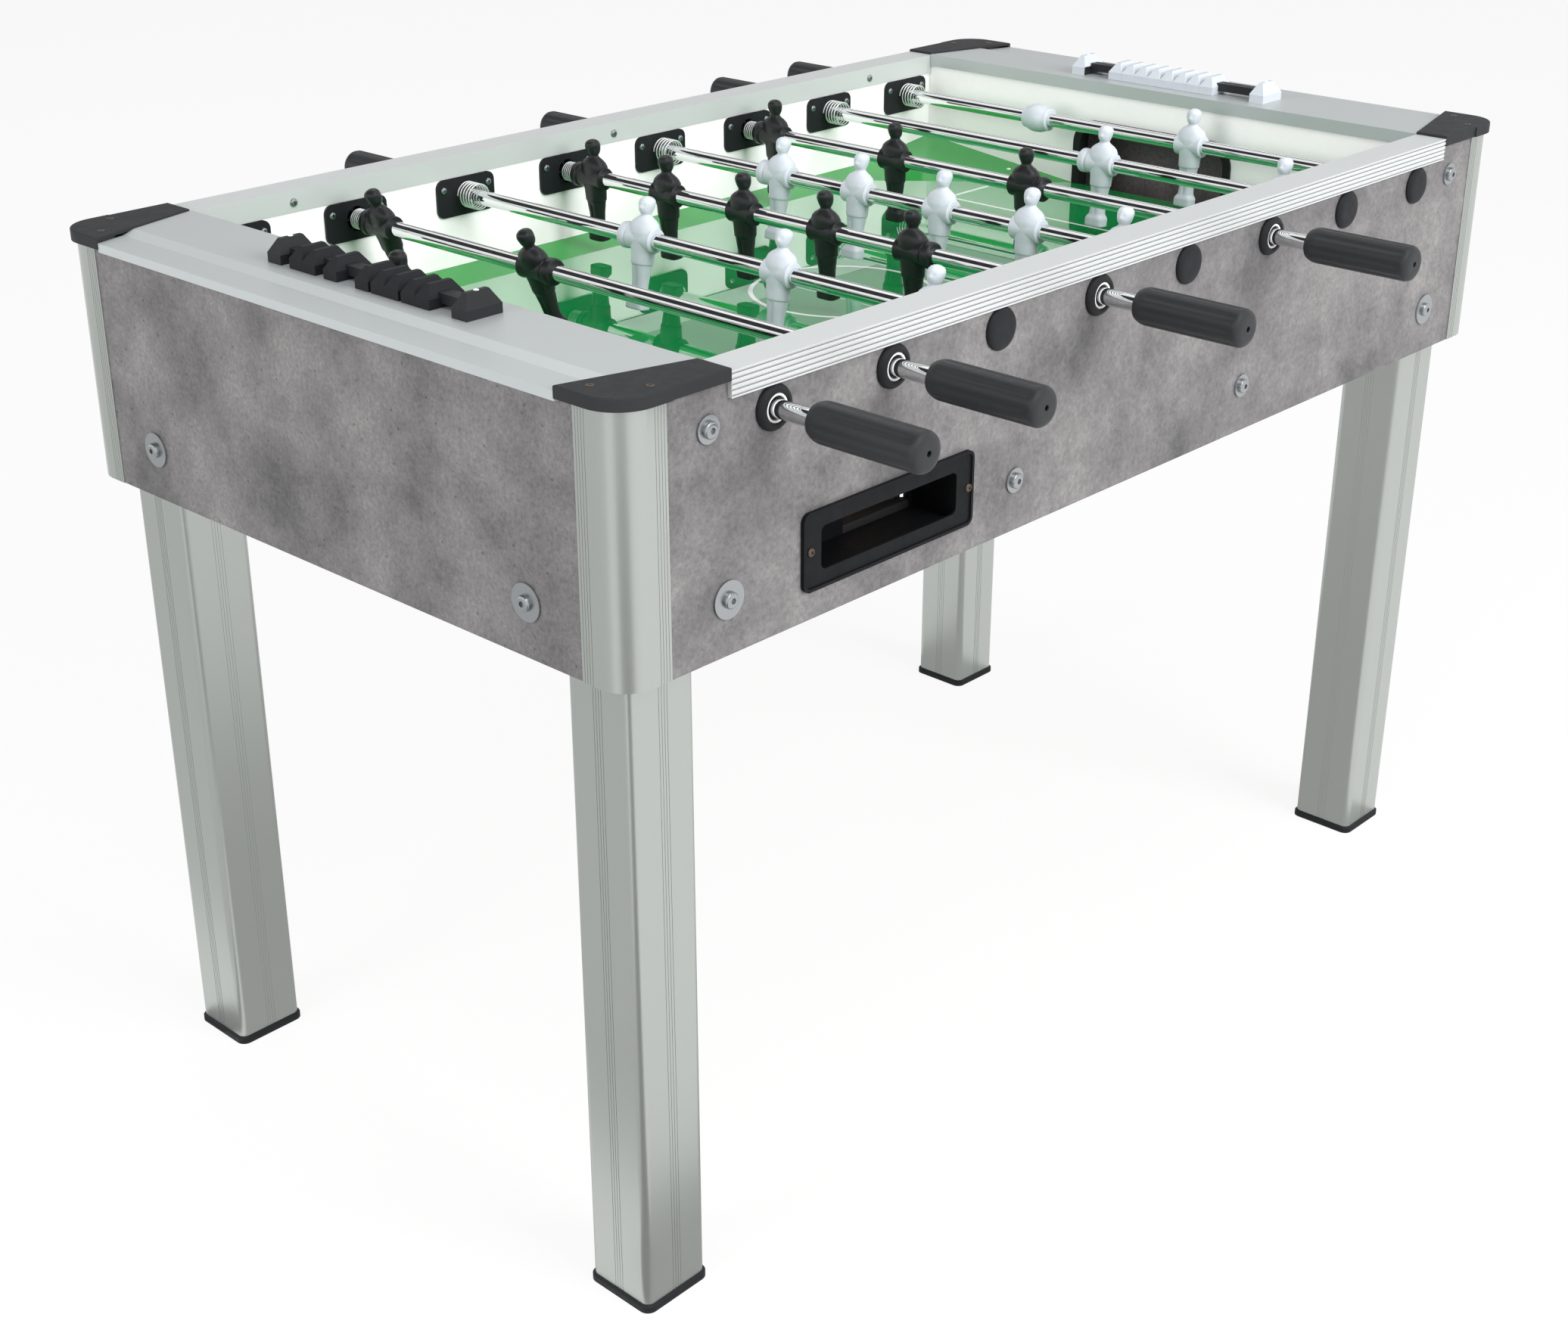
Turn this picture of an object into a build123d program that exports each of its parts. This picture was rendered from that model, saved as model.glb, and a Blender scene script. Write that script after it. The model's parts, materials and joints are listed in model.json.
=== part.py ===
"""Foosball table: a laminated cabinet on four aluminium legs, with eight telescopic rods."""
import os
from math import cos, pi, sin, sqrt

from build123d import *

os.makedirs("parts", exist_ok=True)

# Playing field and cabinet
field_length = 1132.0
field_width = 705.0
field_height = 766.0
field_sheet_thickness = 6.0
field_board_thickness = 12.0
panel_thickness = 25.0
lining_thickness = 5.0
end_wall_thickness = 15.0
end_depth = 117.5
cabinet_bottom = 650.0
rail_top = 895.0

# Long aluminium rails over the side walls
rail_wall = 3.0
rail_skirt = 2.0
rail_drop = 22.8
rail_proud = 4.5
rail_groove_count = 5
rail_groove_width = 1.3
rail_groove_depth = 1.0

# Wide aluminium tops over the ends
end_top_wall = 3.0
end_top_low = 2.0
end_top_high = 1.0
end_top_lip = 5.5
end_top_lip_drop = 8.5
end_top_skirt = 2.0
end_top_skirt_drop = 14.5
end_top_step = 76.0
end_top_step_width = 14.0

# Corner posts and the plastic caps on them
post_reach = 50.0
post_radius = 30.0
post_wall = 3.0
post_proud = 1.0
post_flange = 22.0
flute_width = 0.8
flute_depth = 0.25
flute_pitch = 3.2
flute_count = 4
flute_margin = 3.0
cap_thickness = 3.0
cap_drop = 8.0
cap_skirt = 3.0
cap_proud = 6.5
cap_arm_proud = 5.0
cap_end_reach = 65.0
cap_shoulder = 1.5
cap_radius = 36.0
cap_round = 1.5
cap_gap = 0.3

# Legs, feet and the steel brackets that hold the legs
leg_side = 76.0
leg_wall = 3.0
leg_radius = 8.0
leg_gap = 0.5
leg_top = 768.0
foot_side = 81.0
foot_radius = 10.0
foot_thickness = 8.0
foot_spigot = 20.0
foot_chamfer = 2.0
fit_gap = 0.3
seam_gap = 0.1
press_gap = 0.02
bracket_sheet = 4.0
bracket_flange = 28.0
bracket_height = 84.0
bracket_setback = 10.0

# Ramps along the walls of the field
strip_width = 42.5
strip_rise = 9.0
lift_along_end = 237.5
lift_along_side = 168.0
lift_rise = 26.0

# Goals
goal_width = 210.0
goal_height = 72.0
goal_radius = 20.0
goal_rim = 10.0
goal_rim_thickness = 3.0
goal_sleeve = 3.0

# Ball trays and the ramps that feed them
tray_rod = 1
tray_drop = 53.0
tray_width = 226.0
tray_tall = 72.0
tray_flange = 4.0
tray_mouth_width = 180.0
tray_mouth_tall = 40.0
tray_wall = 3.0
tray_depth = 52.0
tray_sill = 6.0
tray_gate = 100.0
tray_radius = 8.0
tray_mouth_radius = 6.0
tray_rim = 3.0
tray_rim_depth = 1.5
chute_floor = 4.0
chute_rise = 38.0
chute_wall = 5.0
chute_guard = 18.0
chute_turn = 130.0
chute_bend = 30.0
chute_step = 2.0

# Rods and their fittings in the walls
keeper_setback = 51.5
rod_height = 852.0
tube_diameter = 16.0
core_diameter = 11.0
running_gap = 0.05
wall_hole_diameter = 31.0
plate_width = 79.0
plate_above = 19.0
plate_below = 22.0
plate_thickness = 3.0
plate_radius = 9.0
plate_sleeve = 10.0
plate_bore_gap = 0.6
sleeve_diameter = 30.0
pocket_diameter = 26.0
pocket_depth = 8.0
hub_diameter = 16.0
rib_count = 6
rib_thickness = 2.0
ring_diameter = 40.0
ring_height = 7.0
ring_edge = 2.0
ring_crown_diameter = 31.0
ring_spigot = 12.0
liner_diameter = 25.0
liner_inset = 14.0
liner_proud = 5.5
hole_cap_height = 6.0
hole_cap_crown_diameter = 28.0
hole_cap_spigot = 13.0
core_reach = 250.0
core_head = 4.0
core_head_diameter = 18.0
core_head_gap = 0.3
tube_inset = 0.5
tube_in_grip = 100.0
grip_start = 47.5
grip_length = 116.0
grip_diameter = 35.5
grip_neck_diameter = 29.0
grip_neck = 6.0
grip_neck_radius = 7.0
grip_dome = 6.0
grip_end_diameter = 24.0
grip_flute_count = 8
grip_flute_diameter = 30.0
grip_flute_depth = 0.8
grip_flute_margin = 4.0
grip_hole_diameter = 5.0
grip_hole_depth = 6.0

# Springs: one round each tube by its bush, one round each inner rod
tube_spring_length = 25.0
tube_spring_diameter = 29.0
tube_spring_wire = 2.5
core_spring_length = 17.0
core_spring_diameter = 22.5
core_spring_wire = 2.0
spring_turns = 5
spring_seat = 0.4
coil_samples = 400
stop_gap = 0.3

# Players, collars and the keepers' stop rings
boss_half = 17.5
boss_diameter = 25.0
collar_length = 10.5
collar_diameter = 27.0
collar_chamfer = 2.0
stop_ring_length = 36.0
stop_ring_diameter = 34.0
stop_ring_end_diameter = 27.0
stop_ring_end = 5.0
keeper_to_ring = 224.0
foot_reach = 71.0
head_reach = 42.5
head_width = 17.0
head_height = 21.0
neck_diameter = 10.0
neck_sink = 4.0
chest_clear = 20.0
ankle_width = 16.0
ankle_depth = 14.0
sole_width = 24.0
sole_depth = 17.0
sole_height = 13.0
sole_edge = 8.0

# Player's trunk from the neck down: height above the rod, width, depth
trunk = [
    (24.0, 13.0, 12.0),
    (19.0, 27.0, 16.0),
    (8.0, 34.5, 23.0),
    (-6.0, 32.0, 23.0),
    (-20.0, 25.0, 19.0),
    (-42.0, 18.5, 15.0),
]

# Score counters on the end tops
bead_count = 8
bead_width = 18.8
bead_depth = 39.4
bead_base = 9.0
bead_height = 20.0
bead_ridge_width = 5.0
bead_ridge_depth = 24.0
block_width = 19.5
block_height = 22.0
counter_travel = 88.0
counter_offset = 39.0
bar_depth = 14.0
bar_height = 9.0
bar_lift = 4.0
bar_seat = 8.0
bead_gap = 0.2
black_groups = [2, 1, 1, 2, 2]
black_gaps = [13.0, 12.3, 26.0, 3.4, 3.6]
grey_gap = 36.0

# Bolts
bolt_shank = 8.0
bolt_gap = 0.2
bolt_head = 15.0
bolt_head_height = 4.5
bolt_head_round = 3.0
bolt_socket = 5.0
bolt_socket_depth = 2.5
bolt_length = 34.0
wide_washer = 34.0
small_washer = 24.0
washer_thickness = 2.0
low_bolt_rise = 40.5
mid_bolt_rise = 12.5
corner_bolt_setback = 8.0
mid_bolt_offset = 190.0

# Timber under the field and behind the end walls
bearer_width = 20.0
bearer_height = 60.0
cleat_side = 25.0
cleat_under = 39.0

# Rows from the left end: name, team, players, spacing along the rod, lean in degrees
black, grey = "black", "grey"
rows = [
    ("black_keeper", black, 1, 0.0, 3.0),
    ("black_defence", black, 2, 235.0, 20.0),
    ("grey_attack", grey, 3, 188.0, 9.0),
    ("black_midfield", black, 5, 115.5, 3.0),
    ("grey_midfield", grey, 5, 115.5, 7.0),
    ("black_attack", black, 3, 188.0, 2.0),
    ("grey_defence", grey, 2, 235.0, 5.0),
    ("grey_keeper", grey, 1, 0.0, 4.0),
]

# Places worked out from the sizes above
half_x = field_length / 2
half_y = field_width / 2
end_back = half_x + end_wall_thickness
inner_y = half_y + lining_thickness
outer_y = inner_y + panel_thickness
outer_x = half_x + end_depth
inner_x = outer_x - panel_thickness
board_top = field_height - field_sheet_thickness
board_bottom = board_top - field_board_thickness
rail_under = rail_top - rail_wall
rail_bottom = rail_top - rail_drop
top_outer = rail_top - end_top_low
top_inner = rail_top + end_top_high
end_panel_top = top_outer - end_top_wall
end_wall_top = top_inner - end_top_wall
post_x = outer_x - post_reach
post_y = outer_y - post_reach
post_hollow_side = post_reach + post_proud - 2 * post_wall
leg_bore = leg_side - 2 * leg_wall
leg_x = inner_x - leg_gap - leg_side / 2
leg_y = inner_y - leg_gap - leg_side / 2
leg_face_x = leg_x - leg_side / 2
leg_face_y = leg_y - leg_side / 2
low_bolt_x = leg_face_x - bracket_flange / 2
low_bolt_y = leg_face_y - bracket_flange / 2
corner_bolt_x = end_back + corner_bolt_setback
bracket_bottom = cabinet_bottom + bracket_setback
low_bolt_height = bracket_bottom + low_bolt_rise
mid_bolt_height = board_bottom - bearer_height + mid_bolt_rise
rod_pitch = (field_length - 2 * keeper_setback) / (len(rows) - 1)
rod_x = [(i - (len(rows) - 1) / 2) * rod_pitch for i in range(len(rows))]
goal_top = field_height + goal_height
tray_x = rod_x[tray_rod]
gate_x = tray_x + (tray_mouth_width - tray_gate) / 2
tray_height = field_height - tray_drop
mouth_bottom = tray_height - tray_mouth_tall / 2
chute_low = mouth_bottom - chute_floor
chute_block = chute_step + chute_guard + chute_rise + 2 * chute_floor
plate_face = half_y - plate_thickness
anchor_sleeve = outer_y - half_y - hole_cap_spigot - core_head - 2 * core_head_gap
core_end = outer_y - hole_cap_spigot - core_head_gap
first_face = plate_face - core_spring_length - stop_gap
last_face = plate_face - tube_spring_length - stop_gap
end_half = boss_half + collar_length
counter_x = half_x + counter_offset
counter_free = bead_count * bead_width + counter_travel
half_turn = Location((0, 0, 0), (0, 0, 180))


def save(piece, name):
    """Labels a finished piece and writes it."""
    piece.part.label = name
    export_step(piece.part, f"parts/{name}.step")


def row_place(index, team):
    """Place of a rod: the black team's grips are on the near side, the grey team's on the far side."""
    return Location((rod_x[index], 0, 0), (0, 0, 0 if team == black else 180))


def grip_sides():
    """Places of what is at the grip end of each rod."""
    return [row_place(i, row[1]) for i, row in enumerate(rows)]


def anchor_sides():
    """Places of what is at the anchored end of each rod."""
    return [row_place(i, grey if row[1] == black else black) for i, row in enumerate(rows)]
# Side and end panels, with holes for the rods, the ball trays and the bolts
with BuildPart() as cabinet_panels:
    with BuildSketch(Plane.XZ.offset(inner_y)):
        with Locations((0, (cabinet_bottom + rail_under) / 2)):
            Rectangle(2 * post_x, rail_under - cabinet_bottom)
        with Locations(*[(x, rod_height) for x in rod_x]):
            Circle(wall_hole_diameter / 2, mode=Mode.SUBTRACT)
        with Locations((tray_x, tray_height - tray_sill / 2)):
            Rectangle(tray_mouth_width + 2 * (tray_wall + fit_gap),
                      tray_mouth_tall + tray_sill + 2 * (tray_wall + fit_gap), mode=Mode.SUBTRACT)
        with Locations(*[(s * mid_bolt_offset, mid_bolt_height) for s in (-1, 1)],
                       *[(s * low_bolt_x, low_bolt_height) for s in (-1, 1)]):
            Circle(bolt_shank / 2 + bolt_gap, mode=Mode.SUBTRACT)
        with Locations(*[(s * corner_bolt_x, rod_height) for s in (-1, 1)]):
            Circle(bolt_shank / 2 + bolt_gap, mode=Mode.SUBTRACT)
    extrude(amount=panel_thickness)
    with BuildSketch(Plane.YZ.offset(inner_x)):
        with Locations((0, (cabinet_bottom + end_panel_top) / 2)):
            Rectangle(2 * post_y, end_panel_top - cabinet_bottom)
        with Locations(*[(s * low_bolt_y, low_bolt_height) for s in (-1, 1)]):
            Circle(bolt_shank / 2 + bolt_gap, mode=Mode.SUBTRACT)
    extrude(amount=panel_thickness)
    with Locations(half_turn):
        add(cabinet_panels.part)
save(cabinet_panels, "cabinet_panels")

# White side linings and end walls round the field
with BuildPart() as inner_walls:
    with BuildSketch(Plane.XZ.offset(half_y)):
        with Locations((0, (board_top + rail_under) / 2)):
            Rectangle(field_length - 2 * seam_gap, rail_under - board_top)
        with Locations(*[(x, rod_height) for x in rod_x]):
            Circle(wall_hole_diameter / 2, mode=Mode.SUBTRACT)
    extrude(amount=lining_thickness)
    with BuildSketch(Plane.YZ.offset(half_x)):
        with Locations((0, (board_top + end_wall_top) / 2)):
            Rectangle(2 * inner_y, end_wall_top - board_top)
    extrude(amount=end_wall_thickness)
    with BuildSketch(Plane.YZ.offset(half_x)) as goal_cut:
        with Locations((0, board_top)):
            Rectangle(goal_width + 2 * (goal_sleeve + fit_gap), 2 * (goal_top - board_top + goal_sleeve + fit_gap))
        fillet(goal_cut.vertices(), goal_radius + goal_sleeve + fit_gap)
    extrude(amount=end_wall_thickness, mode=Mode.SUBTRACT)
    with Locations(half_turn):
        add(inner_walls.part)
save(inner_walls, "inner_walls")

# Field board, with the printed sheet on it
with BuildPart() as field_board:
    with Locations((0, 0, board_bottom)):
        Box(2 * end_back, 2 * inner_y, field_board_thickness, align=(Align.CENTER, Align.CENTER, Align.MIN))
save(field_board, "field_board")

with BuildPart() as field_sheet:
    with Locations((0, 0, board_top)):
        Box(field_length, field_width, field_sheet_thickness, align=(Align.CENTER, Align.CENTER, Align.MIN))
save(field_sheet, "field_sheet")

# Timber bearers under the board, and the cleats that hold the end walls
with BuildPart() as field_timbers:
    with Locations(*[(s * mid_bolt_offset, 0, board_bottom) for s in (-1, 1)]):
        Box(bearer_width, 2 * inner_y, bearer_height, align=(Align.CENTER, Align.CENTER, Align.MAX))
    with BuildSketch(Plane.XY.offset(end_wall_top)):
        with GridLocations(2 * end_back + cleat_side, 2 * inner_y - cleat_side, 2, 2):
            Rectangle(cleat_side, cleat_side)
    extrude(amount=rod_height - cleat_under - end_wall_top)
    with BuildSketch(Plane.XZ):
        with Locations(*[(s * mid_bolt_offset, mid_bolt_height) for s in (-1, 1)]):
            Circle(bolt_shank / 2 + bolt_gap)
        with Locations(*[(s * corner_bolt_x, rod_height) for s in (-1, 1)]):
            Circle(bolt_shank / 2 + bolt_gap)
    extrude(amount=outer_y, both=True, mode=Mode.SUBTRACT)
save(field_timbers, "field_timbers")

# Corner posts: open aluminium shells with flanges on the panel edges and fine flutes
with BuildPart() as corner_posts:
    with BuildSketch(Plane.XY.offset(cabinet_bottom)) as post_plan:
        with Locations((post_x, post_y)):
            Rectangle(post_reach + post_proud, post_reach + post_proud, align=Align.MIN)
        fillet(post_plan.vertices().group_by(Axis.X)[-1].sort_by(Axis.Y)[-1], post_radius)
        with BuildSketch(mode=Mode.PRIVATE) as post_hollow:
            with Locations((post_x + post_wall, post_y + post_wall)):
                Rectangle(post_hollow_side, post_hollow_side, align=Align.MIN)
            fillet(post_hollow.vertices().group_by(Axis.X)[-1].sort_by(Axis.Y)[-1], post_radius - post_wall)
        add(post_hollow.sketch, mode=Mode.SUBTRACT)
        with Locations((post_x, post_y)):
            Rectangle(post_reach - post_flange, post_reach - post_flange, align=Align.MIN, mode=Mode.SUBTRACT)
        for i in range(flute_count):
            along = flute_margin + i * flute_pitch
            with Locations((post_x + along, outer_y + post_proud)):
                Rectangle(flute_width, 2 * flute_depth, mode=Mode.SUBTRACT)
            with Locations((outer_x + post_proud, post_y + along)):
                Rectangle(2 * flute_depth, flute_width, mode=Mode.SUBTRACT)
    extrude(amount=rail_top - cabinet_bottom)
    mirror(about=Plane.YZ)
    mirror(about=Plane.XZ)
save(corner_posts, "corner_posts")

# Plan of a corner cap: round outer corner, a short arm over the side wall, slanted inner edge
with BuildSketch() as cap_plan:
    with BuildLine():
        Polyline((outer_x + cap_proud, outer_y - cap_end_reach),
                 (outer_x + cap_proud, outer_y + cap_proud),
                 (post_x - cap_shoulder, outer_y + cap_proud),
                 (post_x - cap_shoulder, outer_y + cap_arm_proud),
                 (half_x, outer_y + cap_arm_proud),
                 (half_x, half_y - rail_skirt - cap_gap),
                 close=True)
    make_face()
    fillet(cap_plan.vertices().group_by(Axis.Y)[-1].sort_by(Axis.X)[-1], cap_radius)

# Space under a cap, open on its slanted side
with BuildSketch() as cap_hollow:
    with BuildLine():
        Polyline((outer_x + cap_proud - cap_skirt, 0),
                 (outer_x + cap_proud - cap_skirt, outer_y + cap_proud - cap_skirt),
                 (post_x - cap_shoulder - cap_skirt, outer_y + cap_proud - cap_skirt),
                 (post_x - cap_shoulder - cap_skirt, outer_y + cap_arm_proud - cap_skirt),
                 (0, outer_y + cap_arm_proud - cap_skirt),
                 (0, 0),
                 close=True)
    make_face()
    fillet(cap_hollow.vertices().group_by(Axis.Y)[-1].sort_by(Axis.X)[-1], cap_radius - cap_skirt)

with BuildPart() as corner_caps:
    with BuildSketch(Plane.XY.offset(rail_top - cap_drop)):
        add(cap_plan.sketch)
    extrude(amount=cap_drop + cap_thickness)
    fillet(corner_caps.faces().sort_by(Axis.Z)[-1].edges(), cap_round)
    with BuildSketch(Plane.XY.offset(rail_top - cap_drop)):
        add(cap_hollow.sketch)
    extrude(amount=cap_drop, mode=Mode.SUBTRACT)
    mirror(about=Plane.YZ)
    mirror(about=Plane.XZ)
save(corner_caps, "corner_caps")

# Side rails: grooved channels that ride over the side walls between the caps
with BuildPart() as side_rails:
    with BuildSketch(Plane.YZ):
        with BuildLine():
            Polyline((half_y - rail_skirt, rail_bottom),
                     (half_y - rail_skirt, rail_top),
                     (outer_y + rail_proud, rail_top),
                     (outer_y + rail_proud, rail_bottom),
                     (outer_y, rail_bottom),
                     (outer_y, rail_under),
                     (half_y, rail_under),
                     (half_y, rail_bottom),
                     close=True)
        make_face()
        with Locations((outer_y + rail_proud, (rail_top + rail_bottom) / 2)):
            with GridLocations(0, rail_drop / rail_groove_count, 1, rail_groove_count):
                Rectangle(2 * rail_groove_depth, rail_groove_width, mode=Mode.SUBTRACT)
    extrude(amount=half_x - cap_gap, both=True)
    mirror(about=Plane.XZ)
save(side_rails, "side_rails")

# End tops: stepped aluminium covers from the end wall out over the end panel, cut along the caps
with BuildPart() as end_tops:
    with BuildSketch(Plane.XZ):
        with BuildLine():
            Polyline((half_x - end_top_skirt, top_inner),
                     (half_x + end_top_step, top_inner),
                     (half_x + end_top_step + end_top_step_width, top_outer),
                     (outer_x + end_top_lip, top_outer),
                     (outer_x + end_top_lip, top_outer - end_top_lip_drop),
                     (outer_x, top_outer - end_top_lip_drop),
                     (outer_x, end_panel_top),
                     (half_x + end_top_step + end_top_step_width, end_panel_top),
                     (half_x + end_top_step, end_wall_top),
                     (half_x, end_wall_top),
                     (half_x, top_inner - end_top_skirt_drop),
                     (half_x - end_top_skirt, top_inner - end_top_skirt_drop),
                     close=True)
        make_face()
    extrude(amount=half_y - rail_skirt - cap_gap, both=True)
    with BuildSketch(Plane.XY.offset(rail_bottom)) as cap_cut:
        add(cap_plan.sketch)
        offset(amount=cap_gap, kind=Kind.INTERSECTION)
        mirror(about=Plane.XZ)
    extrude(amount=rail_drop + cap_thickness, mode=Mode.SUBTRACT)
    mirror(about=Plane.YZ)
save(end_tops, "end_tops")

# Legs: square aluminium tubes with a fluted band on each face
with BuildPart() as legs:
    with BuildSketch(Plane.XY.offset(foot_thickness)):
        with Locations((leg_x, leg_y)):
            RectangleRounded(leg_side, leg_side, leg_radius)
            Rectangle(leg_bore, leg_bore, mode=Mode.SUBTRACT)
            with GridLocations(flute_pitch, leg_side, flute_count, 2):
                Rectangle(flute_width, 2 * flute_depth, mode=Mode.SUBTRACT)
            with GridLocations(leg_side, flute_pitch, 2, flute_count):
                Rectangle(2 * flute_depth, flute_width, mode=Mode.SUBTRACT)
    extrude(amount=leg_top - foot_thickness)
    mirror(about=Plane.YZ)
    mirror(about=Plane.XZ)
save(legs, "legs")

with BuildPart() as leg_feet:
    with BuildSketch():
        with Locations((leg_x, leg_y)):
            RectangleRounded(foot_side, foot_side, foot_radius)
    extrude(amount=foot_thickness)
    chamfer(leg_feet.faces().sort_by(Axis.Z)[-1].edges(), foot_chamfer)
    with BuildSketch(Plane.XY.offset(foot_thickness)):
        with Locations((leg_x, leg_y)):
            Rectangle(leg_bore - 2 * fit_gap, leg_bore - 2 * fit_gap)
    extrude(amount=foot_spigot)
    mirror(about=Plane.YZ)
    mirror(about=Plane.XZ)
save(leg_feet, "leg_feet")

# Steel brackets: bent sheet round the two inner faces of each leg, bolted to the panels
with BuildPart() as leg_brackets:
    with BuildSketch(Plane.XY.offset(bracket_bottom)):
        with BuildLine():
            Polyline((leg_face_x - bracket_flange, inner_y),
                     (leg_face_x, inner_y),
                     (leg_face_x, leg_face_y),
                     (inner_x, leg_face_y),
                     (inner_x, leg_face_y - bracket_flange),
                     (inner_x - bracket_sheet, leg_face_y - bracket_flange),
                     (inner_x - bracket_sheet, leg_face_y - bracket_sheet),
                     (leg_face_x - bracket_sheet, leg_face_y - bracket_sheet),
                     (leg_face_x - bracket_sheet, inner_y - bracket_sheet),
                     (leg_face_x - bracket_flange, inner_y - bracket_sheet),
                     close=True)
        make_face()
    extrude(amount=bracket_height)
    with Locations(Location((low_bolt_x, inner_y, low_bolt_height), (90, 0, 0))):
        Cylinder(bolt_shank / 2 + bolt_gap, 2 * bracket_sheet, mode=Mode.SUBTRACT)
    with Locations(Location((inner_x, low_bolt_y, low_bolt_height), (0, 90, 0))):
        Cylinder(bolt_shank / 2 + bolt_gap, 2 * bracket_sheet, mode=Mode.SUBTRACT)
    mirror(about=Plane.YZ)
    mirror(about=Plane.XZ)
save(leg_brackets, "leg_brackets")

# Ramps: a strip along each side wall and a lift in each corner, meeting on a slanted line
lift_start = Vector(half_x, half_y - lift_along_end, field_height)
lift_end = Vector(half_x - lift_along_side, half_y - strip_width, field_height)
lift_corner = Vector(half_x, half_y, field_height + lift_rise)
lift_normal = (lift_end - lift_start).cross(lift_corner - lift_start)
lift_normal = lift_normal if lift_normal.Z > 0 else -lift_normal
strip_top = field_height + strip_rise
meet_x = lift_corner.X + (lift_corner.Z - strip_top) * lift_normal.Z / lift_normal.X

with BuildPart() as field_ramps:
    with BuildSketch(Plane.YZ):
        with BuildLine():
            Polyline((half_y - strip_width, field_height), (half_y, field_height), (half_y, strip_top), close=True)
        make_face()
    extrude(amount=half_x, both=True)
    with BuildSketch(Plane.XY.offset(field_height)):
        with BuildLine():
            Polyline((lift_end.X - seam_gap, lift_end.Y), (meet_x - seam_gap, half_y),
                     (-meet_x + seam_gap, half_y), (-lift_end.X + seam_gap, lift_end.Y), close=True)
        make_face()
    extrude(amount=strip_rise, mode=Mode.INTERSECT)
    with BuildSketch(Plane.XY.offset(field_height), mode=Mode.PRIVATE) as lift_plan:
        with BuildLine():
            Polyline((lift_start.X, lift_start.Y), (lift_end.X, lift_end.Y),
                     (meet_x, half_y), (half_x, half_y), close=True)
        make_face()
    lift_block = extrude(lift_plan.sketch, amount=lift_rise, mode=Mode.PRIVATE)
    lift = split(lift_block, bisect_by=Plane(origin=lift_start, z_dir=lift_normal), keep=Keep.BOTTOM,
                 mode=Mode.PRIVATE)
    add(lift)
    mirror(lift, about=Plane.YZ)
    mirror(about=Plane.XZ)
save(field_ramps, "field_ramps")

# Goal frames: a rim on the field side and a sleeve through the end wall
with BuildPart() as goal_frames:
    with BuildSketch(Plane.YZ.offset(half_x)) as rim_shape:
        with Locations((0, field_height)):
            Rectangle(goal_width + 2 * goal_rim, 2 * (goal_height + goal_rim))
        fillet(rim_shape.vertices(), goal_radius + goal_rim)
    extrude(amount=-goal_rim_thickness)
    with BuildSketch(Plane.YZ.offset(half_x)) as sleeve_shape:
        with Locations((0, board_top)):
            Rectangle(goal_width + 2 * goal_sleeve, 2 * (goal_top - board_top + goal_sleeve))
        fillet(sleeve_shape.vertices(), goal_radius + goal_sleeve)
    extrude(amount=end_wall_thickness)
    with BuildSketch(Plane.YZ.offset(half_x)) as mouth_shape:
        with Locations((0, board_top)):
            Rectangle(goal_width, 2 * (goal_top - board_top))
        fillet(mouth_shape.vertices(), goal_radius)
    extrude(amount=end_wall_thickness, both=True, mode=Mode.SUBTRACT)
    split(bisect_by=Plane.XY.offset(board_top), keep=Keep.TOP)
    with Locations((half_x, 0, field_height)):
        Box(goal_rim_thickness, 2 * goal_width, goal_height, align=(Align.MAX, Align.CENTER, Align.MAX),
            mode=Mode.SUBTRACT)
    with Locations(half_turn):
        add(goal_frames.part)
save(goal_frames, "goal_frames")

# Ball trays: a rounded flange with a raised rim, a mouth and a pocket with a lowered floor
with BuildPart() as ball_trays:
    with BuildSketch(Plane.XZ.offset(outer_y)):
        with Locations((tray_x, tray_height)):
            RectangleRounded(tray_width, tray_tall, tray_radius)
    extrude(amount=tray_flange)
    with BuildSketch(Plane.XZ.offset(outer_y + tray_flange)):
        with Locations((tray_x, tray_height)):
            RectangleRounded(tray_width - 2 * tray_rim, tray_tall - 2 * tray_rim, tray_radius - tray_rim)
    extrude(amount=-tray_rim_depth, mode=Mode.SUBTRACT)
    with BuildSketch(Plane.XZ.offset(outer_y)):
        with Locations((tray_x, tray_height - tray_sill / 2)):
            Rectangle(tray_mouth_width + 2 * tray_wall, tray_mouth_tall + tray_sill + 2 * tray_wall)
    extrude(amount=-tray_depth)
    with BuildSketch(Plane.XZ.offset(outer_y)):
        with Locations((tray_x, tray_height - tray_sill / 2)):
            Rectangle(tray_mouth_width, tray_mouth_tall + tray_sill)
    extrude(amount=tray_wall - tray_depth, mode=Mode.SUBTRACT)
    with BuildSketch(Plane.XZ.offset(outer_y)):
        with Locations((gate_x, tray_height - tray_sill / 2)):
            Rectangle(tray_gate - 2 * chute_wall, tray_mouth_tall + tray_sill)
    extrude(amount=-tray_depth, mode=Mode.SUBTRACT)
    with BuildSketch(Plane.XZ.offset(outer_y)):
        with Locations((tray_x, tray_height)):
            RectangleRounded(tray_mouth_width, tray_mouth_tall, tray_mouth_radius)
    extrude(amount=tray_flange, mode=Mode.SUBTRACT)
    with Locations(half_turn):
        add(ball_trays.part)
save(ball_trays, "ball_trays")

# Wooden chutes from the goals down to the trays, with low guards on both sides
chute_mouth = outer_y - tray_depth
chute_head = goal_width / 2 + goal_rim
chute_slope = chute_rise / (chute_mouth + chute_head)

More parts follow.
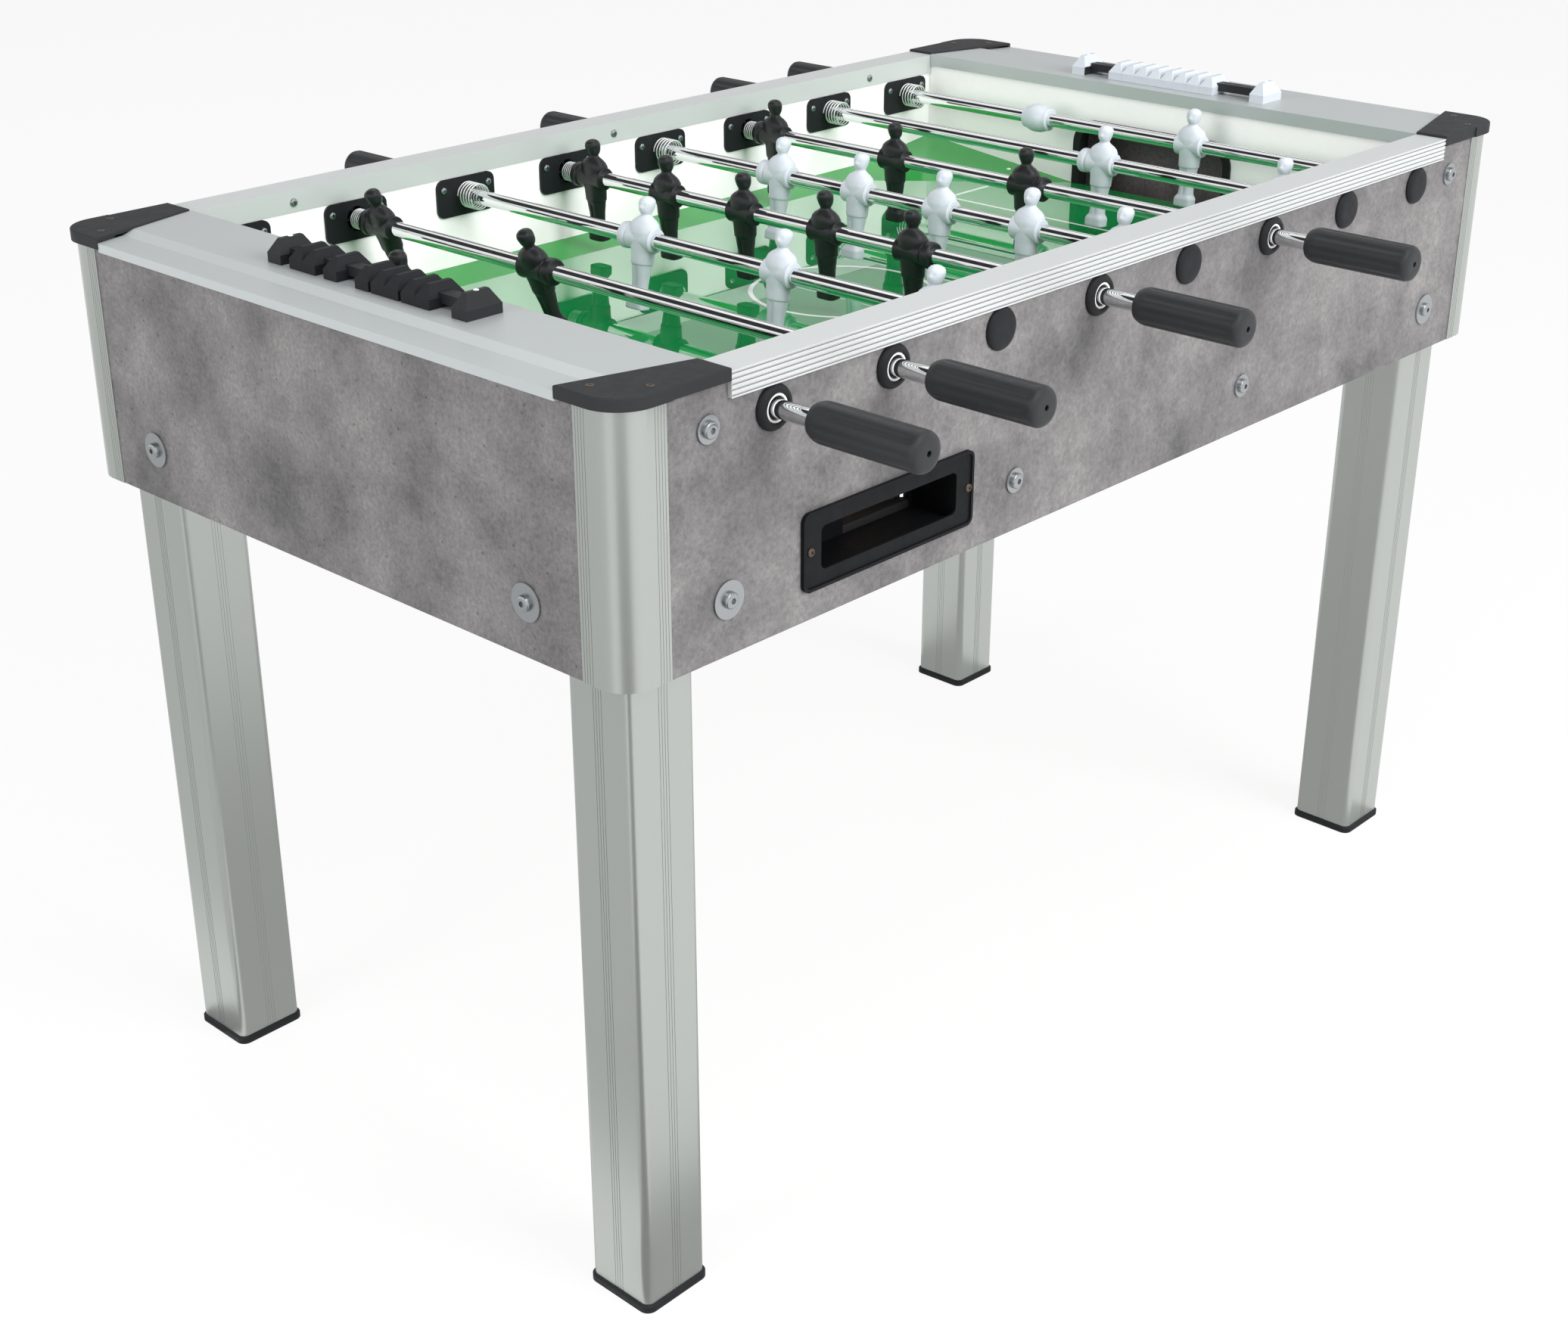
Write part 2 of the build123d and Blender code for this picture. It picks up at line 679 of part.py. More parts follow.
with BuildSketch() as chute_plan:
    with BuildLine():
        Polyline((-inner_x, chute_head),
                 (-inner_x, -chute_turn - chute_bend),
                 (gate_x - tray_gate / 2, -chute_mouth),
                 (gate_x + tray_gate / 2, -chute_mouth),
                 (-end_back - fit_gap, -chute_turn),
                 (-end_back - fit_gap, chute_head),
                 close=True)
    make_face()

with BuildSketch() as chute_lane:
    add(chute_plan.sketch)
    offset(amount=-chute_wall, kind=Kind.INTERSECTION)
    with Locations((gate_x, -chute_mouth)):
        Rectangle(tray_gate - 2 * chute_wall, 2 * chute_wall)

with BuildPart() as ball_chutes:
    with BuildSketch(Plane.XY.offset(chute_low)):
        add(chute_plan.sketch)
    extrude(amount=chute_block)
    chute_top = Plane(origin=(0, -chute_mouth, mouth_bottom + chute_step + chute_guard),
                      z_dir=(0, -chute_slope, 1))
    chute_under = Plane(origin=(0, -chute_mouth, mouth_bottom + chute_step - chute_floor),
                        z_dir=(0, -chute_slope, 1))
    split(bisect_by=chute_top, keep=Keep.BOTTOM)
    split(bisect_by=chute_under, keep=Keep.TOP)
    with BuildSketch(Plane.XY.offset(chute_low), mode=Mode.PRIVATE) as lane_shape:
        add(chute_lane.sketch)
    lane_block = extrude(lane_shape.sketch, amount=chute_block, mode=Mode.PRIVATE)
    chute_bed = Plane(origin=(0, -chute_mouth, mouth_bottom + chute_step), z_dir=(0, -chute_slope, 1))
    lane = split(lane_block, bisect_by=chute_bed, keep=Keep.TOP, mode=Mode.PRIVATE)
    add(lane, mode=Mode.SUBTRACT)
    with Locations(half_turn):
        add(ball_chutes.part)
save(ball_chutes, "ball_chutes")
# Outline of a bearing plate on the inside of the wall
with BuildSketch() as plate_shape:
    with Locations((0, rod_height + (plate_above - plate_below) / 2)):
        RectangleRounded(plate_width, plate_above + plate_below, plate_radius)

# Plate at the grip end: the tube passes freely through it
with BuildPart() as grip_plate:
    with BuildSketch(Plane.XZ.offset(plate_face)):
        add(plate_shape.sketch)
    extrude(amount=plate_thickness)
    with BuildSketch(Plane.XZ.offset(half_y)):
        with Locations((0, rod_height)):
            Circle(sleeve_diameter / 2)
    extrude(amount=plate_sleeve)
    with BuildSketch(Plane.XZ.offset(plate_face)):
        with Locations((0, rod_height)):
            Circle(tube_diameter / 2 + plate_bore_gap)
    extrude(amount=plate_thickness + plate_sleeve, mode=Mode.SUBTRACT)

# Plate at the anchored end: a ribbed pocket round the hub that carries the inner rod
with BuildPart() as anchor_plate:
    with BuildSketch(Plane.XZ.offset(plate_face)):
        add(plate_shape.sketch)
    extrude(amount=plate_thickness)
    with BuildSketch(Plane.XZ.offset(half_y)):
        with Locations((0, rod_height)):
            Circle(sleeve_diameter / 2)
    extrude(amount=anchor_sleeve)
    with BuildSketch(Plane.XZ.offset(plate_face)):
        with Locations((0, rod_height)):
            Circle(pocket_diameter / 2)
            Circle(hub_diameter / 2, mode=Mode.SUBTRACT)
            with PolarLocations(0, rib_count):
                Rectangle(pocket_diameter / 2, rib_thickness, align=(Align.MIN, Align.CENTER), mode=Mode.SUBTRACT)
    extrude(amount=pocket_depth, mode=Mode.SUBTRACT)
    with BuildSketch(Plane.XZ.offset(plate_face)):
        with Locations((0, rod_height)):
            Circle(core_diameter / 2 + running_gap)
    extrude(amount=plate_thickness + anchor_sleeve, mode=Mode.SUBTRACT)

with BuildPart() as bearing_plates:
    with Locations(*grip_sides()):
        add(grip_plate.part, clean=False)
    with Locations(*anchor_sides()):
        add(anchor_plate.part, clean=False)
save(bearing_plates, "bearing_plates")

# Outside of the wall: open domed rings at the grip ends, blank domed caps at the anchored ends
with BuildPart() as ring:
    with BuildSketch(Plane.YZ):
        with BuildLine():
            Polyline((-outer_y + ring_spigot, rod_height + liner_diameter / 2 + press_gap),
                     (-outer_y + ring_spigot, rod_height + sleeve_diameter / 2),
                     (-outer_y, rod_height + sleeve_diameter / 2),
                     (-outer_y, rod_height + ring_diameter / 2),
                     (-outer_y - ring_edge, rod_height + ring_diameter / 2))
            TangentArc((-outer_y - ring_edge, rod_height + ring_diameter / 2),
                       (-outer_y - ring_height, rod_height + ring_crown_diameter / 2), tangent=(-1, 0))
            Polyline((-outer_y - ring_height, rod_height + ring_crown_diameter / 2),
                     (-outer_y - ring_height, rod_height + liner_diameter / 2 + press_gap),
                     (-outer_y + ring_spigot, rod_height + liner_diameter / 2 + press_gap))
        make_face()
    revolve(axis=Axis((0, 0, rod_height), (0, 1, 0)))

with BuildPart() as hole_cap:
    with BuildSketch(Plane.YZ):
        with BuildLine():
            Polyline((-outer_y - hole_cap_height, rod_height),
                     (-outer_y + hole_cap_spigot, rod_height),
                     (-outer_y + hole_cap_spigot, rod_height + sleeve_diameter / 2),
                     (-outer_y, rod_height + sleeve_diameter / 2),
                     (-outer_y, rod_height + ring_diameter / 2),
                     (-outer_y - ring_edge, rod_height + ring_diameter / 2))
            TangentArc((-outer_y - ring_edge, rod_height + ring_diameter / 2),
                       (-outer_y - hole_cap_height, rod_height + hole_cap_crown_diameter / 2), tangent=(-1, 0))
            Line((-outer_y - hole_cap_height, rod_height + hole_cap_crown_diameter / 2),
                 (-outer_y - hole_cap_height, rod_height))
        make_face()
    revolve(axis=Axis((0, 0, rod_height), (0, 1, 0)))

with BuildPart() as rod_bushes:
    with Locations(*grip_sides()):
        add(ring.part, clean=False)
    with Locations(*anchor_sides()):
        add(hole_cap.part, clean=False)
save(rod_bushes, "rod_bushes")

# White liners that the tubes run in
with BuildPart() as liner:
    with BuildSketch(Plane.XZ.offset(outer_y - liner_inset)):
        with Locations((0, rod_height)):
            Circle(liner_diameter / 2)
            Circle(tube_diameter / 2 + running_gap, mode=Mode.SUBTRACT)
    extrude(amount=liner_inset + liner_proud)

with BuildPart() as bush_liners:
    with Locations(*grip_sides()):
        add(liner.part, clean=False)
save(bush_liners, "bush_liners")


def coil(length, diameter, wire):
    """Winds a spring up from the XY plane, as one tube on half-turn biarcs with straight ends."""
    radius = (diameter - wire) / 2
    rise = (length - wire - 2 * spring_seat) / spring_turns
    steps = 2 * spring_turns
    places = [Vector(radius * cos(pi * k), radius * sin(pi * k), wire / 2 + spring_seat + rise * k / 2)
              for k in range(steps + 1)]
    ways = [Vector(-2 * pi * radius * sin(pi * k), 2 * pi * radius * cos(pi * k), rise).normalized()
            for k in range(steps + 1)]
    with BuildPart() as spring:
        with BuildLine() as path:
            Line(places[0] - ways[0] * wire, places[0])
            for k in range(steps):
                here, there, way_in, way_out = places[k], places[k + 1], ways[k], ways[k + 1]
                span = there - here
                both_ways = way_in + way_out
                bend = 2 * (1 - way_in.dot(way_out))
                along = span.dot(both_ways)
                reach = (sqrt(along ** 2 + bend * span.dot(span)) - along) / bend
                middle = (here + way_in * reach + there - way_out * reach) / 2
                way_mid = (there - way_out * reach - here - way_in * reach).normalized()
                TangentArc(here, middle, tangent=way_in)
                TangentArc(middle, there, tangent=way_mid)
            Line(places[steps], places[steps] + ways[steps] * wire)
        with BuildSketch(Plane(origin=path.wire() @ 0, z_dir=path.wire() % 0)):
            Circle(wire / 2)
        sweep()
    points = [path.wire() @ (i / coil_samples) for i in range(coil_samples + 1)]
    apart = int(coil_samples / spring_turns / 2)
    gaps = [(a - b).length - wire for i, a in enumerate(points) for b in points[i + apart:]]
    print(f"spring {diameter} mm: least gap to itself {min(gaps):.2f} mm")
    return spring


# Springs round the tubes at the grip ends and round the inner rods at the anchored ends
tube_spring = coil(tube_spring_length, tube_spring_diameter, tube_spring_wire)
core_spring = coil(core_spring_length, core_spring_diameter, core_spring_wire)
on_plate = Location((0, -plate_face, rod_height), (-90, 0, 0))

with BuildPart() as rod_springs:
    with Locations(*[place * on_plate for place in grip_sides()]):
        add(tube_spring.part, clean=False)
    with Locations(*[place * on_plate for place in anchor_sides()]):
        add(core_spring.part, clean=False)
save(rod_springs, "rod_springs")
# A player: lofted trunk and legs on a round boss, with a plain head and a foot block
with BuildPart() as player:
    for height, width, depth in trunk:
        with BuildSketch(Plane.XY.offset(height)):
            Ellipse(depth / 2, width / 2)
    with BuildSketch(Plane.XY.offset(sole_height - foot_reach)):
        Ellipse(ankle_depth / 2, ankle_width / 2)
    loft(ruled=True)
    with BuildSketch(Plane.XY.offset(sole_height - foot_reach)):
        Rectangle(ankle_depth, ankle_width)
    with BuildSketch(Plane.XY.offset(sole_edge - foot_reach)):
        Rectangle(sole_depth, sole_width)
    loft()
    with BuildSketch(Plane.XY.offset(-foot_reach)):
        Rectangle(sole_depth, sole_width)
    extrude(amount=sole_edge)
    with BuildSketch(Plane.XY.offset(trunk[0][0] - neck_sink)):
        Circle(neck_diameter / 2)
    extrude(amount=head_reach - head_height / 2 - trunk[0][0] + neck_sink)
    with BuildSketch(Plane.XZ):
        with Locations((0, head_reach - head_height / 2)):
            Ellipse(head_width / 2, head_height / 2)
            Rectangle(head_width, head_height, align=(Align.MAX, Align.CENTER), mode=Mode.SUBTRACT)
    revolve(axis=Axis.Z)
    with Locations(Location((0, 0, 0), (90, 0, 0))):
        Cylinder(boss_diameter / 2, 2 * boss_half)
        Cylinder(tube_diameter / 2 + press_gap, 2 * chest_clear, mode=Mode.SUBTRACT)

# Collar at each end of a row, its chamfer towards the wall
with BuildPart() as collar:
    with BuildSketch():
        Circle(collar_diameter / 2)
        Circle(tube_diameter / 2 + press_gap, mode=Mode.SUBTRACT)
    extrude(amount=collar_length)
    chamfer(collar.edges().group_by(Axis.Z)[-1].sort_by(SortBy.RADIUS)[-1], collar_chamfer)

# Stop ring of the keepers' rods, waisted at both ends
with BuildPart() as stop_ring:
    with BuildSketch(Plane.XZ):
        with BuildLine():
            Polyline((tube_diameter / 2 + press_gap, 0),
                     (stop_ring_end_diameter / 2, 0),
                     (stop_ring_diameter / 2, stop_ring_end),
                     (stop_ring_diameter / 2, stop_ring_length - stop_ring_end),
                     (stop_ring_end_diameter / 2, stop_ring_length),
                     (tube_diameter / 2 + press_gap, stop_ring_length),
                     close=True)
        make_face()
    revolve(axis=Axis.Z)

# Grip: domed end, fluted barrel, blind bore for the tube and a small hole in the end
with BuildPart() as grip:
    with BuildSketch(Plane.XZ):
        with BuildLine():
            Polyline((0, 0),
                     (grip_neck_diameter / 2, 0))
            RadiusArc((grip_neck_diameter / 2, 0), (grip_diameter / 2, grip_neck), -grip_neck_radius)
            Line((grip_diameter / 2, grip_neck), (grip_diameter / 2, grip_length - grip_dome))
            TangentArc((grip_diameter / 2, grip_length - grip_dome), (grip_end_diameter / 2, grip_length),
                       tangent=(0, 1))
            Polyline((grip_end_diameter / 2, grip_length), (0, grip_length), (0, 0))
        make_face()
    revolve(axis=Axis.Z)
    with BuildSketch(Plane.XY.offset(grip_neck + grip_flute_margin)):
        with PolarLocations(grip_diameter / 2 + grip_flute_diameter / 2 - grip_flute_depth, grip_flute_count):
            Circle(grip_flute_diameter / 2)
    extrude(amount=grip_length - grip_dome - grip_neck - 2 * grip_flute_margin, mode=Mode.SUBTRACT)
    with BuildSketch():
        Circle(tube_diameter / 2 + press_gap)
    extrude(amount=tube_in_grip + fit_gap, mode=Mode.SUBTRACT)
    with BuildSketch(Plane.XY.offset(grip_length)):
        Circle(grip_hole_diameter / 2)
    extrude(amount=-grip_hole_depth, mode=Mode.SUBTRACT)

# Rows: an inner rod held in the far plate, a tube that turns with it and slides on it, players and a grip
outward = Location((0, 0, rod_height), (90, 0, 0))
inward = Location((0, 0, rod_height), (-90, 0, 0))

for index, (name, team, players, spacing, lean) in enumerate(rows):
    place = row_place(index, team)

    with BuildPart() as core_rod:
        with BuildSketch(Plane.XZ.offset(-core_end)):
            with Locations((0, rod_height)):
                Circle(core_diameter / 2)
        extrude(amount=core_end + core_reach)
        with BuildSketch(Plane.XZ.offset(-core_end)):
            with Locations((0, rod_height)):
                Circle(core_head_diameter / 2)
        extrude(amount=core_head)
    with BuildPart() as placed_core:
        with Locations(place):
            add(core_rod.part)
    save(placed_core, f"{name}_core")

    with BuildPart() as tube:
        with BuildSketch(Plane.XZ.offset(tube_inset - first_face)):
            with Locations((0, rod_height)):
                Circle(tube_diameter / 2)
                Circle(core_diameter / 2 + running_gap, mode=Mode.SUBTRACT)
        extrude(amount=first_face - tube_inset + outer_y + grip_start + tube_in_grip)
    with BuildPart() as placed_tube:
        with Locations(place):
            add(tube.part)
    save(placed_tube, f"{name}_tube")

    row_length = stop_ring_length + 2 * keeper_to_ring if players == 1 else spacing * (players - 1) + 2 * end_half
    stroke = first_face + last_face - row_length
    first_place = keeper_to_ring + stop_ring_length / 2 if players == 1 else end_half
    with BuildPart() as team_row:
        for k in range(players):
            with Locations(place * Location((0, first_face - first_place - k * spacing, rod_height), (0, -lean, 0))):
                add(player.part, clean=False)
        if players == 1:
            with Locations(place * Location((0, first_face, 0)) * outward,
                           place * Location((0, first_face - 2 * keeper_to_ring, 0)) * outward):
                add(stop_ring.part, clean=False)
        else:
            with Locations(place * Location((0, first_face - collar_length + seam_gap, 0)) * inward,
                           place * Location((0, first_face - row_length + collar_length - seam_gap, 0)) * outward):
                add(collar.part, clean=False)
    save(team_row, f"{name}_players")

    with BuildPart() as placed_grip:
        with Locations(place * Location((0, -outer_y - grip_start, 0)) * outward):
            add(grip.part)
    save(placed_grip, f"{name}_grip")
    print(f"{name}: stroke {stroke:.1f} mm, place {rod_x[index]:.1f} mm")

# Score counters: a bead with hipped sides, standing with its slot on a flat bar
with BuildPart() as bead:
    with BuildSketch(Plane.XY.offset(top_inner + bead_gap)):
        Rectangle(bead_depth, bead_width)
    extrude(amount=bead_base)
    with BuildSketch(Plane.XY.offset(top_inner + bead_gap + bead_base)):
        Rectangle(bead_depth, bead_width)
    with BuildSketch(Plane.XY.offset(top_inner + bead_gap + bead_height)):
        Rectangle(bead_ridge_depth, bead_ridge_width)
    loft()
    with Locations((0, 0, top_inner + bar_lift - bead_gap)):
        Box(bar_depth + 2 * bead_gap, 2 * bead_width, bar_height + 2 * bead_gap,
            align=(Align.CENTER, Align.CENTER, Align.MIN), mode=Mode.SUBTRACT)

with BuildPart() as counter_block:
    with BuildSketch(Plane.XY.offset(top_inner)):
        Rectangle(bead_depth, block_width)
    extrude(amount=bead_base)
    with BuildSketch(Plane.XY.offset(top_inner + bead_base)):
        Rectangle(bead_depth, block_width)
    with BuildSketch(Plane.XY.offset(top_inner + block_height)):
        Rectangle(bead_ridge_depth, bead_ridge_width)
    loft()
    with Locations((0, block_width / 2, top_inner + bar_lift)):
        Box(bar_depth + 2 * seam_gap, 2 * (bar_seat + seam_gap), bar_height + 2 * seam_gap,
            align=(Align.CENTER, Align.CENTER, Align.MIN), mode=Mode.SUBTRACT)

with BuildPart() as counter_mounts:
    with Locations(*[(s * counter_x, 0, top_inner + bar_lift + seam_gap) for s in (-1, 1)]):
        Box(bar_depth, counter_free + 2 * bar_seat, bar_height, align=(Align.CENTER, Align.CENTER, Align.MIN))
    with Locations(*[(s * counter_x, -(counter_free + block_width) / 2) for s in (-1, 1)]):
        add(counter_block.part, clean=False)
    with Locations(*[Location((s * counter_x, (counter_free + block_width) / 2, 0), (0, 0, 180)) for s in (-1, 1)]):
        add(counter_block.part, clean=False)
save(counter_mounts, "counter_mounts")

# Black beads in the groups that the game has left them in
bead_y = counter_free / 2
for group, (gap, beads) in enumerate(zip(black_gaps, black_groups), start=1):
    bead_y -= gap
    with BuildPart() as bead_group:
        for k in range(beads):
            with Locations((-counter_x, bead_y - bead_width / 2 - k * (bead_width + seam_gap), 0)):
                add(bead.part, clean=False)
    bead_y -= beads * bead_width + (beads - 1) * seam_gap
    save(bead_group, f"black_beads_{group}")
    print(f"black_beads_{group}: gap before {gap:.1f} mm, left after {bead_y + counter_free / 2:.1f} mm")

# Grey beads, pushed together
with BuildPart() as grey_beads:
    for k in range(bead_count):
        grey_y = counter_free / 2 - grey_gap - bead_width / 2 - k * (bead_width + seam_gap)
        with Locations((counter_x, grey_y, 0)):
            add(bead.part, clean=False)
save(grey_beads, "grey_beads")

# Bolts with washers: wide washers on the lower corner bolts, small ones elsewhere
with BuildPart() as bolt:
    with BuildSketch(Plane.XY.offset(washer_thickness + seam_gap)):
        Circle(bolt_head / 2)
    extrude(amount=bolt_head_height)
    fillet(bolt.faces().sort_by(Axis.Z)[-1].edges(), bolt_head_round)
    with BuildSketch(Plane.XY.offset(washer_thickness + seam_gap)):
        Circle(bolt_shank / 2)
    extrude(amount=-bolt_length)
    with BuildSketch(Plane.XY.offset(washer_thickness + seam_gap + bolt_head_height)):
        RegularPolygon(bolt_socket / 2, 6, major_radius=False)
    extrude(amount=-bolt_socket_depth, mode=Mode.SUBTRACT)


def washer(diameter):
    """A flat washer on the XY plane."""
    with BuildPart() as disc:
        with BuildSketch():
            Circle(diameter / 2)
            Circle(bolt_shank / 2 + bolt_gap, mode=Mode.SUBTRACT)
        extrude(amount=washer_thickness)
    return disc.part


near_low = [Location((s * low_bolt_x, -outer_y, low_bolt_height), (90, 0, 0)) for s in (-1, 1)]
near_small = [Location((s * mid_bolt_offset, -outer_y, mid_bolt_height), (90, 0, 0)) for s in (-1, 1)]
near_small += [Location((s * corner_bolt_x, -outer_y, rod_height), (90, 0, 0)) for s in (-1, 1)]
left_low = [Location((-outer_x, s * low_bolt_y, low_bolt_height), (0, -90, 0)) for s in (-1, 1)]

with BuildPart() as cabinet_bolts:
    with Locations(*near_low, *near_small, *left_low):
        add(bolt.part, clean=False)
    with Locations(*near_low, *left_low):
        add(washer(wide_washer), clean=False)
    with Locations(*near_small):
        add(washer(small_washer), clean=False)
    with Locations(half_turn):
        add(cabinet_bolts.part, clean=False)
save(cabinet_bolts, "cabinet_bolts")
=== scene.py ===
"""Dresses the foosball table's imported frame: finishes, finer pieces, stage, light and camera.

The table's own sizes are in millimetres and become metres with MM. The stage is in metres.
"""
from __future__ import annotations

import json
import logging
import math
from dataclasses import dataclass, field
from enum import Enum
from typing import Callable, Iterable, NamedTuple, Sequence

import bmesh
import bpy
from mathutils import Matrix, Vector

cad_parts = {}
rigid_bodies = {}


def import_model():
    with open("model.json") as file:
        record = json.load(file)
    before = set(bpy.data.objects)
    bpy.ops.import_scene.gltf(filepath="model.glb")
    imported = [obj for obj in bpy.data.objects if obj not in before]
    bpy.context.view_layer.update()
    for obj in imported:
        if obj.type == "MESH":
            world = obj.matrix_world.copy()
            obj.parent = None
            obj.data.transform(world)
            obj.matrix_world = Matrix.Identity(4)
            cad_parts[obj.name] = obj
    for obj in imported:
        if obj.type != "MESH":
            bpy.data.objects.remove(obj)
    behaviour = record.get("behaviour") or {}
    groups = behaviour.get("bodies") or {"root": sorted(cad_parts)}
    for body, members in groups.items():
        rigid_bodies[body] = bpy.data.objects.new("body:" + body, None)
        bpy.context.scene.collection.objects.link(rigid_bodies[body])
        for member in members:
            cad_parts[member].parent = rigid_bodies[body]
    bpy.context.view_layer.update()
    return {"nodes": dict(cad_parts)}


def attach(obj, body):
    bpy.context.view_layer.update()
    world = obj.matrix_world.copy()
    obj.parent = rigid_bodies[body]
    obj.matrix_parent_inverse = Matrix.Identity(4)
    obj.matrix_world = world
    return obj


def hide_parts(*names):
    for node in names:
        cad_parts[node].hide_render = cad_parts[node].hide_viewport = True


LOG = logging.getLogger("foosball_table")
MM = 0.001
MERGE_DISTANCE = 1e-7
SMOOTH_ANGLE = math.radians(32)
UP = (0.0, 0.0, 1.0)
CORNERS = tuple((end, side) for end in (-1, 1) for side in (-1, 1))

Color = tuple[float, float, float, float]
Point = tuple[float, float, float]
Span = tuple[float, float]
Profile = Sequence[tuple[float, float]]
Ripple = Callable[[float, float], float]
Node = bpy.types.Node
Socket = bpy.types.NodeSocket


class Team(Enum):
    """The two sides of the game; the value turns a rod about Z so that its grip is on that side."""

    BLACK = 0.0
    GREY = math.pi


class Streak(Enum):
    """Direction in which a metal was drawn or brushed, as the scale of its grain."""

    ALONG_X = (1.0, 40.0, 40.0)
    ALONG_Y = (40.0, 1.0, 40.0)
    ALONG_Z = (40.0, 40.0, 1.0)


class Tree:
    """Adds and links the nodes of one tree."""

    # The Mix node repeats its sockets' names for each data type, so its colours go by number.
    MIX_COLORS = (6, 7)
    MIX_RESULT = 2

    def __init__(self, tree: bpy.types.NodeTree) -> None:
        """Keeps the tree that the nodes go into."""
        self.tree = tree

    def add(self, kind: str, values: dict[str | int, object] | None = None,
            **settings: object) -> Node:
        """Adds one node.

        Args:
            kind: Blender's name of the node type.
            values: Socket values, by name or number.
            settings: Properties of the node.

        Returns:
            The new node.
        """
        node = self.tree.nodes.new(kind)
        for key, value in settings.items():
            setattr(node, key, value)
        for key, value in (values or {}).items():
            node.inputs[key].default_value = value
        return node

    def link(self, start: Socket, end: Socket) -> None:
        """Links an output to an input."""
        self.tree.links.new(start, end)

    def feed(self, end: Socket, value: Socket | Color | float) -> None:
        """Gives an input a link or a value of its own.

        Args:
            end: The input.
            value: An output, a colour or a number.
        """
        if isinstance(value, bpy.types.NodeSocket):
            self.link(value, end)
        else:
            end.default_value = value

    def math(self, operation: str, *terms: Socket | float) -> Socket:
        """Adds a Math node.

        Args:
            operation: Blender's name of the operation.
            terms: Sockets or numbers, in the order of the node's inputs.

        Returns:
            The node's result.
        """
        node = self.add("ShaderNodeMath", operation=operation)
        for end, term in zip(node.inputs, terms):
            self.feed(end, term)
        return node.outputs[0]

    def blend(self, share: Socket, first: Color | Socket, second: Color | Socket) -> Socket:
        """Mixes two colours.

        Args:
            share: Part of the second colour.
            first: Colour or socket.
            second: Colour or socket.

        Returns:
            The mixed colour.
        """
        node = self.add("ShaderNodeMix", data_type="RGBA")
        self.link(share, node.inputs[0])
        for number, value in zip(self.MIX_COLORS, (first, second)):
            self.feed(node.inputs[number], value)
        return node.outputs[self.MIX_RESULT]

    def remap(self, value: Socket, given: Span,
              wanted: tuple[Socket | float, Socket | float] = (0.0, 1.0)) -> Socket:
        """Maps a span of values to another one and cuts off what is past its ends.

        Args:
            value: The value to map.
            given: The span that it has.
            wanted: The span that it gets, as numbers or sockets.

        Returns:
            The mapped value.
        """
        node = self.add("ShaderNodeMapRange", {"From Min": given[0], "From Max": given[1]})
        self.link(value, node.inputs["Value"])
        self.feed(node.inputs["To Min"], wanted[0])
        self.feed(node.inputs["To Max"], wanted[1])
        return node.outputs["Result"]

    def split(self, place: Socket) -> tuple[Socket, ...]:
        """Takes a place apart.

        Args:
            place: Socket with coordinates.

        Returns:
            Its X, Y and Z.
        """
        node = self.add("ShaderNodeSeparateXYZ")
        self.link(place, node.inputs[0])
        return tuple(node.outputs)


def shader_group(name: str, inputs: Sequence[tuple[str, str, float | None]],
                 outputs: Sequence[tuple[str, str]],
                 fill: Callable[[Tree, Node, Node], None]) -> bpy.types.NodeTree:
    """Makes a shader node group once and finds it again later.

    Args:
        name: Name of the group.
        inputs: Name, socket type and default value of each input.
        outputs: Name and socket type of each output.
        fill: Function that adds the inner nodes between the group's input and output.

    Returns:
        The group.
    """
    if name in bpy.data.node_groups:
        return bpy.data.node_groups[name]
    group = bpy.data.node_groups.new(name, "ShaderNodeTree")
    for label, kind, value in inputs:
        socket = group.interface.new_socket(label, in_out="INPUT", socket_type=kind)
        if value is not None:
            socket.default_value = value
    for label, kind in outputs:
        group.interface.new_socket(label, in_out="OUTPUT", socket_type=kind)
    tree = Tree(group)
    fill(tree, tree.add("NodeGroupInput"), tree.add("NodeGroupOutput"))
    return group


def scale_textures(tree: Tree, given: Node, textures: Iterable[tuple[Node, float]]) -> None:
    """Gives textures the group's place and its scale.

    Args:
        tree: The group's tree.
        given: The group's input.
        textures: Each texture with its own factor on the scale.
    """
    for texture, factor in textures:
        tree.link(given.outputs["Vector"], texture.inputs["Vector"])
        scale = tree.math("MULTIPLY", given.outputs["Scale"], factor)
        tree.link(scale, texture.inputs["Scale"])


